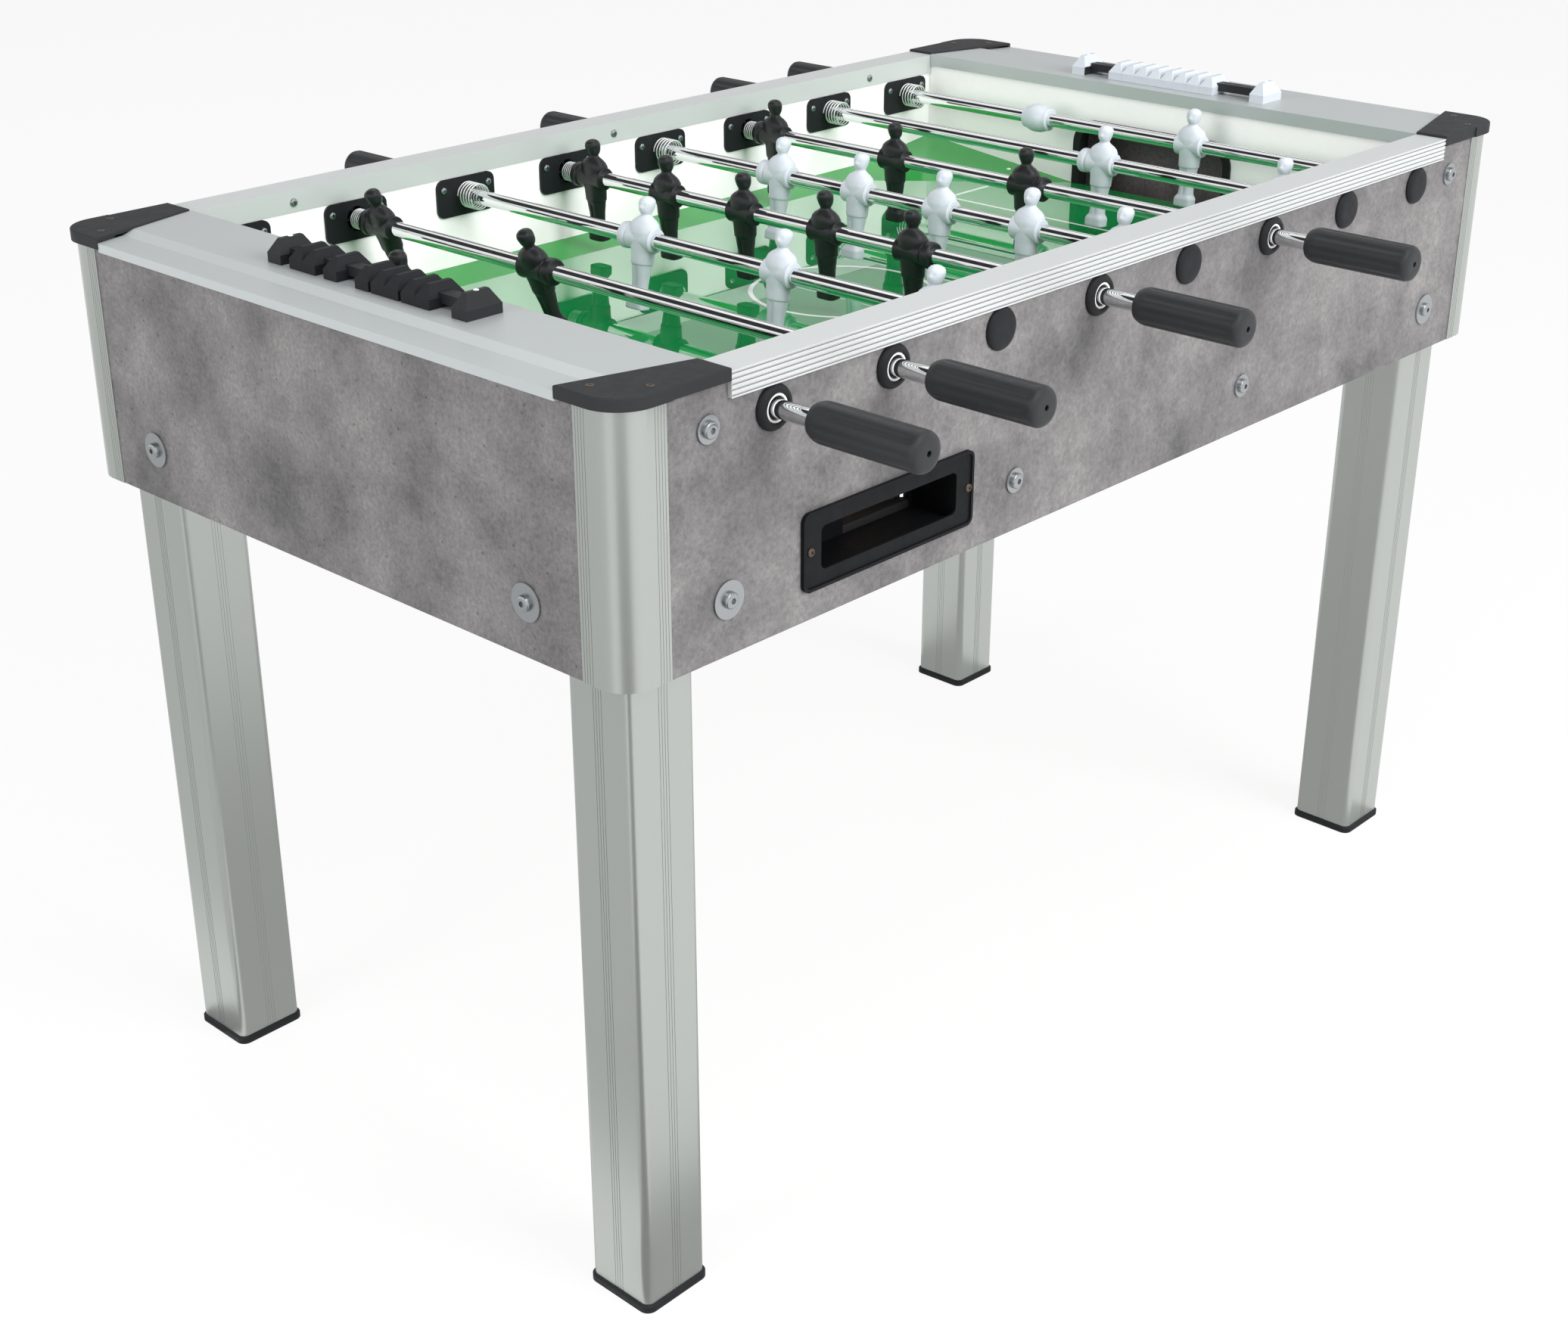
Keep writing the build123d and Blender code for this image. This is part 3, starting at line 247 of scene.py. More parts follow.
def fill_mottle(tree: Tree, given: Node, result: Node) -> None:
    """Adds a cloudy two-tone colour with darker specks, and a height for them.

    Args:
        tree: The group's tree.
        given: The group's input.
        result: The group's output.
    """
    cloud_span = (0.27, 0.72)
    fine_span, fine_shades = (0.32, 0.68), (0.7, 1.24)
    speck_edge, speck_choice = (0.05, 0.17), 0.55
    clouds = tree.add("ShaderNodeTexNoise", {"Detail": 8.0, "Roughness": 0.66})
    fine = tree.add("ShaderNodeTexNoise", {"Detail": 4.0, "Roughness": 0.75})
    specks = tree.add("ShaderNodeTexVoronoi", {"Randomness": 1.0})
    scale_textures(tree, given, ((clouds, 1.0), (fine, 26.0), (specks, 11.0)))
    soft = tree.remap(clouds.outputs["Fac"], cloud_span)
    cloudy = tree.blend(soft, given.outputs["Dark"], given.outputs["Light"])
    grain = tree.remap(fine.outputs["Fac"], fine_span, fine_shades)
    spot = tree.remap(specks.outputs["Distance"], speck_edge, (1.0, 0.0))
    rare = tree.math("GREATER_THAN", specks.outputs["Color"], speck_choice)
    depth = tree.math("MULTIPLY", rare, given.outputs["Specks"])
    pits = tree.math("MULTIPLY", spot, depth)
    shade = tree.math("MULTIPLY", grain, tree.math("SUBTRACT", 1.0, pits))
    colour = tree.add("ShaderNodeVectorMath", operation="SCALE")
    tree.link(cloudy, colour.inputs[0])
    tree.link(shade, colour.inputs["Scale"])
    tree.link(colour.outputs[0], result.inputs["Color"])
    tree.link(tree.math("SUBTRACT", fine.outputs["Fac"], pits), result.inputs["Height"])


def fill_grain(tree: Tree, given: Node, result: Node) -> None:
    """Adds a fine moulded grain: an uneven roughness and a height.

    Args:
        tree: The group's tree.
        given: The group's input.
        result: The group's output.
    """
    broad_span = (0.3, 0.7)
    broad = tree.add("ShaderNodeTexNoise", {"Detail": 3.0})
    close = tree.add("ShaderNodeTexNoise", {"Detail": 2.0})
    scale_textures(tree, given, ((broad, 0.12), (close, 1.0)))
    ends = (given.outputs["Low"], given.outputs["High"])
    tree.link(tree.remap(broad.outputs["Fac"], broad_span, ends), result.inputs["Roughness"])
    tree.link(broad.outputs["Fac"], result.inputs["Cloud"])
    tree.link(close.outputs["Fac"], result.inputs["Height"])


def mottle_group() -> bpy.types.NodeTree:
    """Makes or finds the group of cloudy colour with specks.

    Returns:
        The group.
    """
    return shader_group(
        "cloudy_mottle",
        (("Vector", "NodeSocketVector", None), ("Scale", "NodeSocketFloat", 10.0),
         ("Dark", "NodeSocketColor", None), ("Light", "NodeSocketColor", None),
         ("Specks", "NodeSocketFloat", 0.3)),
        (("Color", "NodeSocketColor"), ("Height", "NodeSocketFloat")), fill_mottle)


def grain_group() -> bpy.types.NodeTree:
    """Makes or finds the group of fine surface grain.

    Returns:
        The group.
    """
    return shader_group(
        "fine_grain",
        (("Vector", "NodeSocketVector", None), ("Scale", "NodeSocketFloat", 900.0),
         ("Low", "NodeSocketFloat", 0.3), ("High", "NodeSocketFloat", 0.4)),
        (("Roughness", "NodeSocketFloat"), ("Cloud", "NodeSocketFloat"),
         ("Height", "NodeSocketFloat")), fill_grain)


@dataclass(frozen=True)
class Finish:
    """What every finish has: a name, a base colour and the range of its roughness."""

    name: str
    color: Color
    rough: Span = (0.35, 0.45)
    metallic: float = 0.0
    ior: float = 1.5
    specular: float = 0.5
    coat: float = 0.0
    coat_rough: float = 0.05
    coat_ior: float = 1.5
    bump: float = 0.0
    bump_strength: float = 0.6
    grain_scale: float = 900.0
    vary: float = 0.06

    def material(self) -> bpy.types.Material:
        """Makes the finish's material once and finds it again later.

        Returns:
            The Blender material.
        """
        label = f"{self.name}_finish"
        known = bpy.data.materials.get(label)
        if known is not None:
            return known
        made = bpy.data.materials.new(label)
        made.use_nodes = True
        tree = Tree(made.node_tree)
        shader = made.node_tree.nodes["Principled BSDF"]
        shader.inputs["Metallic"].default_value = self.metallic
        shader.inputs["IOR"].default_value = self.ior
        shader.inputs["Specular IOR Level"].default_value = self.specular
        shader.inputs["Coat Weight"].default_value = self.coat
        shader.inputs["Coat Roughness"].default_value = self.coat_rough
        shader.inputs["Coat IOR"].default_value = self.coat_ior
        self.dress(tree, shader, tree.add("ShaderNodeTexCoord").outputs["Object"])
        made.diffuse_color = self.color
        return made

    def dress(self, tree: Tree, shader: Node, place: Socket) -> None:
        """Adds the nodes of the finish.

        Args:
            tree: The material's tree.
            shader: Its Principled BSDF.
            place: Object coordinates.
        """
        grain = self.grain(tree, shader, place)
        self.tint(tree, shader, grain.outputs["Cloud"])
        self.raise_bump(tree, shader, grain.outputs["Height"])

    def shade(self, factor: float) -> Color:
        """The base colour times a factor, no paler than white."""
        return tuple(min(c * factor, 1.0) for c in self.color[:3]) + (1.0,)

    def tint(self, tree: Tree, shader: Node, share: Socket) -> None:
        """Gives the shader a base colour that varies by a share."""
        low, high = self.shade(1.0 - self.vary), self.shade(1.0 + self.vary)
        tree.link(tree.blend(share, low, high), shader.inputs["Base Color"])

    def cover(self, tree: Tree, shader: Node, mask: Socket, color: Color) -> None:
        """Lays a colour over the base colour where the mask is one."""
        base = shader.inputs["Base Color"]
        tree.link(tree.blend(mask, base.links[0].from_socket, color), base)

    def grain(self, tree: Tree, shader: Node, place: Socket) -> Node:
        """Places the grain group and gives the shader its roughness.

        Args:
            tree: The material's tree.
            shader: Its Principled BSDF.
            place: Coordinates of the grain.

        Returns:
            The group's node.
        """
        grain = tree.add("ShaderNodeGroup", node_tree=grain_group())
        grain.inputs["Scale"].default_value = self.grain_scale
        grain.inputs["Low"].default_value, grain.inputs["High"].default_value = self.rough
        tree.link(place, grain.inputs["Vector"])
        tree.link(grain.outputs["Roughness"], shader.inputs["Roughness"])
        return grain

    def raise_bump(self, tree: Tree, shader: Node, height: Socket) -> None:
        """Gives the shader a bump of the finish's depth, where it has one.

        Args:
            tree: The material's tree.
            shader: Its Principled BSDF.
            height: The bump's height.
        """
        if self.bump <= 0.0:
            return
        bump = tree.add("ShaderNodeBump", {"Strength": self.bump_strength, "Distance": self.bump})
        tree.link(height, bump.inputs["Height"])
        tree.link(bump.outputs[0], shader.inputs["Normal"])


@dataclass(frozen=True)
class Metal(Finish):
    """A drawn, brushed or polished metal, with fine lines along its length."""

    metallic: float = 1.0
    streak: Streak = Streak.ALONG_X

    def dress(self, tree: Tree, shader: Node, place: Socket) -> None:
        """Adds long streaks to the roughness and the colour.

        Args:
            tree: The material's tree.
            shader: Its Principled BSDF.
            place: Object coordinates.
        """
        turn = tree.add("ShaderNodeMapping", {"Scale": self.streak.value})
        tree.link(place, turn.inputs["Vector"])
        grain = self.grain(tree, shader, turn.outputs[0])
        self.tint(tree, shader, grain.outputs["Height"])
        self.raise_bump(tree, shader, grain.outputs["Height"])


@dataclass(frozen=True)
class GroovedMetal(Metal):
    """Drawn rail with painted shade in the bottoms of its fine grooves."""

    groove_side: float = 386.0 * MM
    groove_middle: float = 883.6 * MM
    groove_pitch: float = 4.56 * MM
    groove_half: float = 0.75 * MM
    groove_painted_shade: float = 0.22

    def dress(self, tree: Tree, shader: Node, place: Socket) -> None:
        """Paints shade into the bottoms of the grooves.

        Args:
            tree: The material's tree.
            shader: Its Principled BSDF.
            place: Object coordinates.
        """
        super().dress(tree, shader, place)
        _, y, z = tree.split(place)
        side = tree.math("GREATER_THAN", tree.math("ABSOLUTE", y), self.groove_side)
        height = tree.math("SUBTRACT", z, self.groove_middle)
        away = tree.math("PINGPONG", height, self.groove_pitch / 2)
        low = tree.math("LESS_THAN", away, self.groove_half)
        # Painted shade: the grooves on the rail's sides get a darker copy of the base colour.
        self.cover(tree, shader, tree.math("MULTIPLY", side, low), self.shade(self.groove_painted_shade))


@dataclass(frozen=True)
class Laminate(Finish):
    """Printed board with a cloudy stone pattern."""

    dark: Color = (0.2, 0.19, 0.19, 1.0)
    cloud_scale: float = 9.0
    specks: float = 0.35

    def dress(self, tree: Tree, shader: Node, place: Socket) -> None:
        """Adds clouds, specks and a slight relief.

        Args:
            tree: The material's tree.
            shader: Its Principled BSDF.
            place: Object coordinates.
        """
        self.grain(tree, shader, place)
        cloud = tree.add("ShaderNodeGroup", node_tree=mottle_group())
        cloud.inputs["Scale"].default_value = self.cloud_scale
        cloud.inputs["Dark"].default_value = self.dark
        cloud.inputs["Light"].default_value = self.color
        cloud.inputs["Specks"].default_value = self.specks
        tree.link(place, cloud.inputs["Vector"])
        tree.link(cloud.outputs["Color"], shader.inputs["Base Color"])
        self.raise_bump(tree, shader, cloud.outputs["Height"])


@dataclass(frozen=True)
class Timber(Finish):
    """Plain timber with growth lines along Y."""

    dark: Color = (0.3, 0.19, 0.1, 1.0)
    fibre: Point = (30.0, 2.0, 30.0)

    def dress(self, tree: Tree, shader: Node, place: Socket) -> None:
        """Adds growth lines and fibres.

        Args:
            tree: The material's tree.
            shader: Its Principled BSDF.
            place: Object coordinates.
        """
        grain = self.grain(tree, shader, place)
        turn = tree.add("ShaderNodeMapping", {"Scale": self.fibre})
        tree.link(place, turn.inputs["Vector"])
        rings = tree.add("ShaderNodeTexNoise", {"Scale": 1.0, "Detail": 6.0, "Distortion": 1.2})
        tree.link(turn.outputs[0], rings.inputs["Vector"])
        wood = tree.blend(rings.outputs["Fac"], self.dark, self.color)
        tree.link(wood, shader.inputs["Base Color"])
        self.raise_bump(tree, shader, grain.outputs["Height"])


@dataclass(frozen=True)
class ChuteTimber(Timber):
    """Timber painted near-black towards the ball trays, as painted shade inside them."""

    painted_shade_colour: Color = (0.01, 0.01, 0.01, 1.0)
    painted_dark_from: float = 215.0 * MM

    def dress(self, tree: Tree, shader: Node, place: Socket) -> None:
        """Paints the near-black shade over the timber near the trays.

        Args:
            tree: The material's tree.
            shader: Its Principled BSDF.
            place: Object coordinates.
        """
        super().dress(tree, shader, place)
        # Painted shade: near-black where the chute runs towards the trays.
        _, y, _ = tree.split(place)
        painted_dark = tree.math("GREATER_THAN", tree.math("ABSOLUTE", y), self.painted_dark_from)
        self.cover(tree, shader, painted_dark, self.painted_shade_colour)


@dataclass(frozen=True)
class FieldPrint(Finish):
    """Green playing field with white lines under a glossy sheet."""

    line: Color = (0.9, 0.92, 0.9, 1.0)
    line_width: float = 5.0 * MM
    circle_radius: float = 98.0 * MM
    spot_radius: float = 10.0 * MM
    area_start: float = 400.0 * MM
    area_side: float = 181.0 * MM
    printed: bool = True

    def dress(self, tree: Tree, shader: Node, place: Socket) -> None:
        """Adds the green ground and, where it is printed, the lines of the game.

        Args:
            tree: The material's tree.
            shader: Its Principled BSDF.
            place: Object coordinates.
        """
        grain = self.grain(tree, shader, place)
        ground = tree.blend(grain.outputs["Cloud"], self.shade(1.0 - self.vary), self.color)
        tree.link(ground, shader.inputs["Base Color"])
        if self.printed:
            self.cover(tree, shader, self.lines(tree, place), self.line)

    def lines(self, tree: Tree, place: Socket) -> Socket:
        """Works out where the lines are: circle, spot, halfway line and both goal areas.

        Args:
            tree: The material's tree.
            place: Object coordinates.

        Returns:
            A mask that is one on the lines.
        """
        x, y = (tree.math("ABSOLUTE", value) for value in tree.split(place)[:2])
        half = self.line_width / 2
        square = tree.math("ADD", tree.math("MULTIPLY", x, x), tree.math("MULTIPLY", y, y))
        radius = tree.math("SQRT", square)
        ring = tree.math("COMPARE", radius, self.circle_radius, half)
        spot = tree.math("LESS_THAN", radius, self.spot_radius)
        middle = tree.math("LESS_THAN", x, half)
        beyond = tree.math("GREATER_THAN", x, self.area_start - half)
        within = tree.math("LESS_THAN", y, self.area_side + half)
        sides = tree.math("MULTIPLY", tree.math("COMPARE", y, self.area_side, half), beyond)
        front = tree.math("MULTIPLY", tree.math("COMPARE", x, self.area_start, half), within)
        mask = ring
        for part in (spot, middle, sides, front):
            mask = tree.math("MAXIMUM", mask, part)
        return mask


@dataclass(frozen=True)
class MountPlastic(Finish):
    """Plastic of both counters: dark all over, pale on the end blocks of the far one."""

    pale: Color = (0.6, 0.6, 0.6, 1.0)
    block_start: float = 119.6 * MM

    def dress(self, tree: Tree, shader: Node, place: Socket) -> None:
        """Adds the two colours by place.

        Args:
            tree: The material's tree.
            shader: Its Principled BSDF.
            place: Object coordinates.
        """
        grain = self.grain(tree, shader, place)
        x, y, _ = tree.split(place)
        outer = tree.math("GREATER_THAN", tree.math("ABSOLUTE", y), self.block_start)
        far = tree.math("MULTIPLY", outer, tree.math("GREATER_THAN", x, 0.0))
        tree.link(tree.blend(far, self.color, self.pale), shader.inputs["Base Color"])
        self.raise_bump(tree, shader, grain.outputs["Height"])


LAMINATE = Laminate("grey_stone_laminate", (0.226, 0.216, 0.215, 1.0), rough=(0.4, 0.52),
                    bump=0.00008, dark=(0.058, 0.057, 0.061, 1.0), specks=0.62)
WHITE_WALL = Finish("white_wall", (0.94, 0.92, 0.92, 1.0), rough=(0.42, 0.5), ior=1.36,
                    bump=0.00003, vary=0.02)
FIELD = FieldPrint("field_green", (0.01, 0.3, 0.075, 1.0), rough=(0.002, 0.008), coat=1.0,
                   coat_rough=0.0, coat_ior=1.6)
RAMP = FieldPrint("ramp_green", (0.03, 0.3, 0.055, 1.0), rough=(0.12, 0.18), ior=1.4,
                  printed=False)
WOOD = Timber("plain_timber", (0.52, 0.36, 0.2, 1.0), rough=(0.5, 0.6), bump=0.00005)
# Chute timber with painted shade near the trays.
CHUTE_WOOD = ChuteTimber("painted_dark_timber", (0.42, 0.29, 0.17, 1.0), rough=(0.5, 0.6),
                         bump=0.00005)
RAIL_METAL = GroovedMetal("anodised_rail", (0.6, 0.62, 0.62, 1.0), rough=(0.34, 0.42),
                          metallic=0.3, vary=0.03)
TOP_METAL = Metal("anodised_end_top", (0.53, 0.56, 0.565, 1.0), rough=(0.38, 0.44),
                  metallic=0.5, vary=0.03, streak=Streak.ALONG_Y)
POST_METAL = Metal("anodised_post", (0.5, 0.528, 0.505, 1.0), rough=(0.3, 0.37),
                   metallic=0.92, vary=0.025, streak=Streak.ALONG_Z)
CHROME = Metal("polished_tube", (0.78, 0.79, 0.8, 1.0), rough=(0.03, 0.05), vary=0.01,
               grain_scale=8.0, streak=Streak.ALONG_Y)
OILED_STEEL = Metal("oiled_steel", (0.05, 0.052, 0.055, 1.0), rough=(0.2, 0.3), vary=0.05,
                    streak=Streak.ALONG_Y)
ZINC = Metal("zinc_plate", (0.42, 0.44, 0.45, 1.0), rough=(0.22, 0.34), vary=0.08,
             streak=Streak.ALONG_Z)
SPRING_STEEL = Metal("spring_steel", (0.82, 0.84, 0.84, 1.0), rough=(0.2, 0.3), metallic=0.6,
                     vary=0.03, streak=Streak.ALONG_Y)
BRONZED = Metal("bronzed_screw", (0.16, 0.12, 0.095, 1.0), rough=(0.3, 0.45), vary=0.2,
                streak=Streak.ALONG_Z)
BLACK_PLASTIC = Finish("black_plastic", (0.012, 0.013, 0.015, 1.0), rough=(0.5, 0.62),
                       ior=1.42, specular=0.3, bump=0.00005)
CAP_PLASTIC = Finish("cap_plastic", (0.026, 0.027, 0.029, 1.0), rough=(0.52, 0.64), ior=1.4,
                     specular=0.22, bump=0.0001, grain_scale=700.0)
TRAY_PLASTIC = Finish("tray_plastic", (0.005, 0.0055, 0.0065, 1.0), rough=(0.5, 0.62),
                      ior=1.42, specular=0.22, bump=0.00008, grain_scale=700.0)
GRIP_PLASTIC = Finish("grip_plastic", (0.02, 0.021, 0.023, 1.0), rough=(0.42, 0.54), ior=1.42,
                      bump=0.00006)
BLACK_FIGURE = Finish("black_figure", (0.011, 0.012, 0.013, 1.0), rough=(0.3, 0.4), ior=1.45,
                      bump=0.00003)
GREY_FIGURE = Finish("grey_figure", (0.55, 0.59, 0.64, 1.0), rough=(0.3, 0.4), bump=0.00003)
WHITE_PLASTIC = Finish("white_plastic", (0.8, 0.8, 0.79, 1.0), rough=(0.3, 0.4), bump=0.00002)
# Near-black: painted shade for the cap screws' holes and the gates' sills; also the dark flags and
# liner lips.
RECESS = Finish("dark_recess", (0.012, 0.012, 0.012, 1.0), rough=(0.6, 0.7))
MOUNTS = MountPlastic("counter_mount_plastic", BLACK_PLASTIC.color, rough=(0.42, 0.54),
                      ior=1.42, bump=0.00004, pale=GREY_FIGURE.color)


def add_to_scene(thing: bpy.types.Object) -> None:
    """Links an object to the scene."""
    bpy.context.scene.collection.objects.link(thing)


def new_piece(name: str, mesh: bpy.types.Mesh, finish: Finish, body: str,
              replaced: Iterable[str] = ()) -> bpy.types.Object:
    """Turns a mesh into a dressed piece of the table.

    Args:
        name: Name of the piece.
        mesh: Its mesh, in place.
        finish: Its finish.
        body: The body that it moves with.
        replaced: CAD nodes that it stands for.

    Returns:
        The piece.
    """
    piece = bpy.data.objects.new(name, mesh)
    add_to_scene(piece)
    mesh.materials.clear()
    mesh.materials.append(finish.material())
    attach(piece, body)
    for node in replaced:
        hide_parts(node)
    LOG.info("%s: %d faces on %s", name, len(mesh.polygons), body)
    return piece


def dress_node(node: bpy.types.Object, finish: Finish) -> None:
    """Gives a CAD node that keeps its form a finish.

    Args:
        node: The node's object.
        finish: Its finish.
    """
    node.data.materials.clear()
    node.data.materials.append(finish.material())
    LOG.info("%s: %s", node.name, finish.name)


def smooth(mesh: bpy.types.Mesh, angle: float) -> None:
    """Shades a mesh smooth, with sharp edges over an angle.

    Args:
        mesh: The mesh.
        angle: The least angle of a sharp edge.
    """
    for face in mesh.polygons:
        face.use_smooth = True
    mesh.set_sharp_from_angle(angle=angle)


def to_mesh(shape: bmesh.types.BMesh, name: str, angle: float = SMOOTH_ANGLE) -> bpy.types.Mesh:
    """Closes a bmesh into a smooth mesh.

    Args:
        shape: The bmesh, which is freed.
        name: Name of the mesh.
        angle: The least angle of a sharp edge.

    Returns:
        The mesh.
    """
    bmesh.ops.remove_doubles(shape, verts=shape.verts, dist=MERGE_DISTANCE)
    bmesh.ops.recalc_face_normals(shape, faces=shape.faces)
    mesh = bpy.data.meshes.new(name)
    shape.to_mesh(mesh)
    shape.free()
    smooth(mesh, angle)
    return mesh


def stitch(shape: bmesh.types.BMesh, rings: Sequence[Sequence[bmesh.types.BMVert]],
           closed: bool) -> None:
    """Joins rings of equal length with faces.

    Args:
        shape: The bmesh that holds the rings.
        rings: Points of each ring, in order.
        closed: True where the last ring joins the first.
    """
    pairs = list(zip(rings, rings[1:])) + ([(rings[-1], rings[0])] if closed else [])
    for low, high in pairs:
        count = len(low)
        for k in range(count):
            after = (k + 1) % count
            # A tip is one point for the whole ring, so its faces have three corners.
            kept = list(dict.fromkeys((low[k], low[after], high[after], high[k])))
            if len(kept) > 2:
                shape.faces.new(kept)


def turn_profile(shape: bmesh.types.BMesh, profile: Profile, place: Matrix, segments: int = 40,
                 closed: bool = False, ripple: Ripple | None = None) -> None:
    """Turns a profile round Z.

    Args:
        shape: The bmesh that receives the faces.
        profile: Points as radius and height in millimetres; radius 0 closes an end.
        place: Where the turned form goes.
        segments: Steps round the axis.
        closed: True where the profile is a closed loop.
        ripple: Factor on the radius for an angle and a height.
    """
    rings = []
    for radius, height in profile:
        if radius <= 0.0:
            tip = shape.verts.new(place @ Vector((0.0, 0.0, height * MM)))
            rings.append([tip] * segments)
            continue
        ring = []
        for k in range(segments):
            angle = 2.0 * math.pi * k / segments
            reach = radius * MM * (ripple(angle, height) if ripple else 1.0)
            spot = Vector((reach * math.cos(angle), reach * math.sin(angle), height * MM))
            ring.append(shape.verts.new(place @ spot))
        rings.append(ring)
    stitch(shape, rings, closed)


def facing(place: Point, normal: Point, spin: float = 0.0) -> Matrix:
    """Frame at a place in millimetres whose Z follows a normal, turned about it by a spin."""
    turn = Vector(normal).to_track_quat("Z", "Y").to_matrix().to_4x4()
    return Matrix.Translation(Vector(place) * MM) @ turn @ Matrix.Rotation(spin, 4, "Z")


def spread_on_points(name: str, group: bpy.types.NodeTree, places: Sequence[Matrix],
                     values: dict[str, object]) -> bpy.types.Mesh:
    """Runs a Geometry Nodes tree on points and keeps its result as a plain mesh.

    Args:
        name: Name of the result.
        group: The tree.
        places: Place and turn of each point.
        values: The tree's inputs, by socket identifier.

    Returns:
        The evaluated mesh.
    """
    points = bpy.data.meshes.new(f"{name}_points")
    points.from_pydata([tuple(place.translation) for place in places], [], [])
    turns = points.attributes.new("turn", "FLOAT_VECTOR", "POINT")
    turns.data.foreach_set("vector", [value for place in places for value in place.to_euler()])
    carrier = bpy.data.objects.new(f"{name}_carrier", points)
    add_to_scene(carrier)
    modifier = carrier.modifiers.new("spread", "NODES")
    modifier.node_group = group
    for key, value in values.items():
        modifier[key] = value
    bpy.context.view_layer.update()
    ready = carrier.evaluated_get(bpy.context.evaluated_depsgraph_get())
    mesh = bpy.data.meshes.new_from_object(ready)
    mesh.name = name
    carrier.modifiers.remove(modifier)
    bpy.data.objects.remove(carrier)
    return mesh


class Repeater:
    """Geometry Nodes tree that sets a shape on marked points."""

    def __init__(self, name: str) -> None:
        """Builds the tree with its named inputs.

        Args:
            name: Name of the tree.
        """
        self.group = bpy.data.node_groups.new(name, "GeometryNodeTree")
        face = self.group.interface
        face.new_socket("Geometry", in_out="INPUT", socket_type="NodeSocketGeometry")
        self.shape_id = face.new_socket(
            "Shape", in_out="INPUT", socket_type="NodeSocketObject").identifier
        self.finish_id = face.new_socket(
            "Finish", in_out="INPUT", socket_type="NodeSocketMaterial").identifier
        face.new_socket("Geometry", in_out="OUTPUT", socket_type="NodeSocketGeometry")
        tree = Tree(self.group)
        given, result = tree.add("NodeGroupInput"), tree.add("NodeGroupOutput")
        shape = tree.add("GeometryNodeObjectInfo", transform_space="ORIGINAL")
        tree.link(given.outputs["Shape"], shape.inputs["Object"])
        self.finish(tree, given, result, shape.outputs["Geometry"])

    @staticmethod
    def finish(tree: Tree, given: Node, result: Node, shape: Socket) -> None:
        """Adds the nodes that set the shape on the points and dress it.

        Args:
            tree: The tree.
            given: Its input, with the points and the finish.
            result: Its output.
            shape: The shape that is set on the points.
        """
        turn = tree.add("GeometryNodeInputNamedAttribute", {"Name": "turn"},
                        data_type="FLOAT_VECTOR")
        rotation = tree.add("FunctionNodeEulerToRotation")
        tree.link(turn.outputs["Attribute"], rotation.inputs[0])
        spread = tree.add("GeometryNodeInstanceOnPoints")
        tree.link(given.outputs["Geometry"], spread.inputs["Points"])
        tree.link(shape, spread.inputs["Instance"])
        tree.link(rotation.outputs[0], spread.inputs["Rotation"])
        real = tree.add("GeometryNodeRealizeInstances")
        tree.link(spread.outputs[0], real.inputs[0])
        dress = tree.add("GeometryNodeSetMaterial")
        tree.link(real.outputs[0], dress.inputs["Geometry"])
        tree.link(given.outputs["Finish"], dress.inputs["Material"])
        tree.link(dress.outputs[0], result.inputs[0])

    def lay(self, name: str, shape: bpy.types.Mesh, places: Sequence[Matrix],
            finish: Finish) -> bpy.types.Mesh:
        """Sets the shape on every place.

        Args:
            name: Name of the new mesh.
            shape: Mesh of one of them, about the origin.
            places: Where they go.
            finish: Their finish.

        Returns:
            One plain mesh of all of them.
        """
        source = bpy.data.objects.new(f"{name}_one", shape)
        values = {self.shape_id: source, self.finish_id: finish.material()}
        mesh = spread_on_points(name, self.group, places, values)
        bpy.data.objects.remove(source)
        return mesh

    def set_piece(self, name: str, shape: bpy.types.Mesh, places: Sequence[Matrix],
                  finish: Finish, slot: str, body: str = "table",
                  replaced: Iterable[str] = ()) -> None:
        """Sets the shape on every place as one piece of the table.

        Args:
            name: Name of the piece.
            shape: Mesh of one of them, about the origin.
            places: Where they go.
            finish: Their finish.
            slot: The record's material slot; not used.
            body: The body that they move with.
            replaced: CAD nodes that they stand for.
        """
        mesh = self.lay(name, shape, places, finish)
        new_piece(name, mesh, finish, body, replaced)


class SpringSize(NamedTuple):
    """Sizes of a wound spring, and how far from its seat the wire's middle starts."""

    length: float
    radius: float
    wire: float
    turns: float
    lift: float


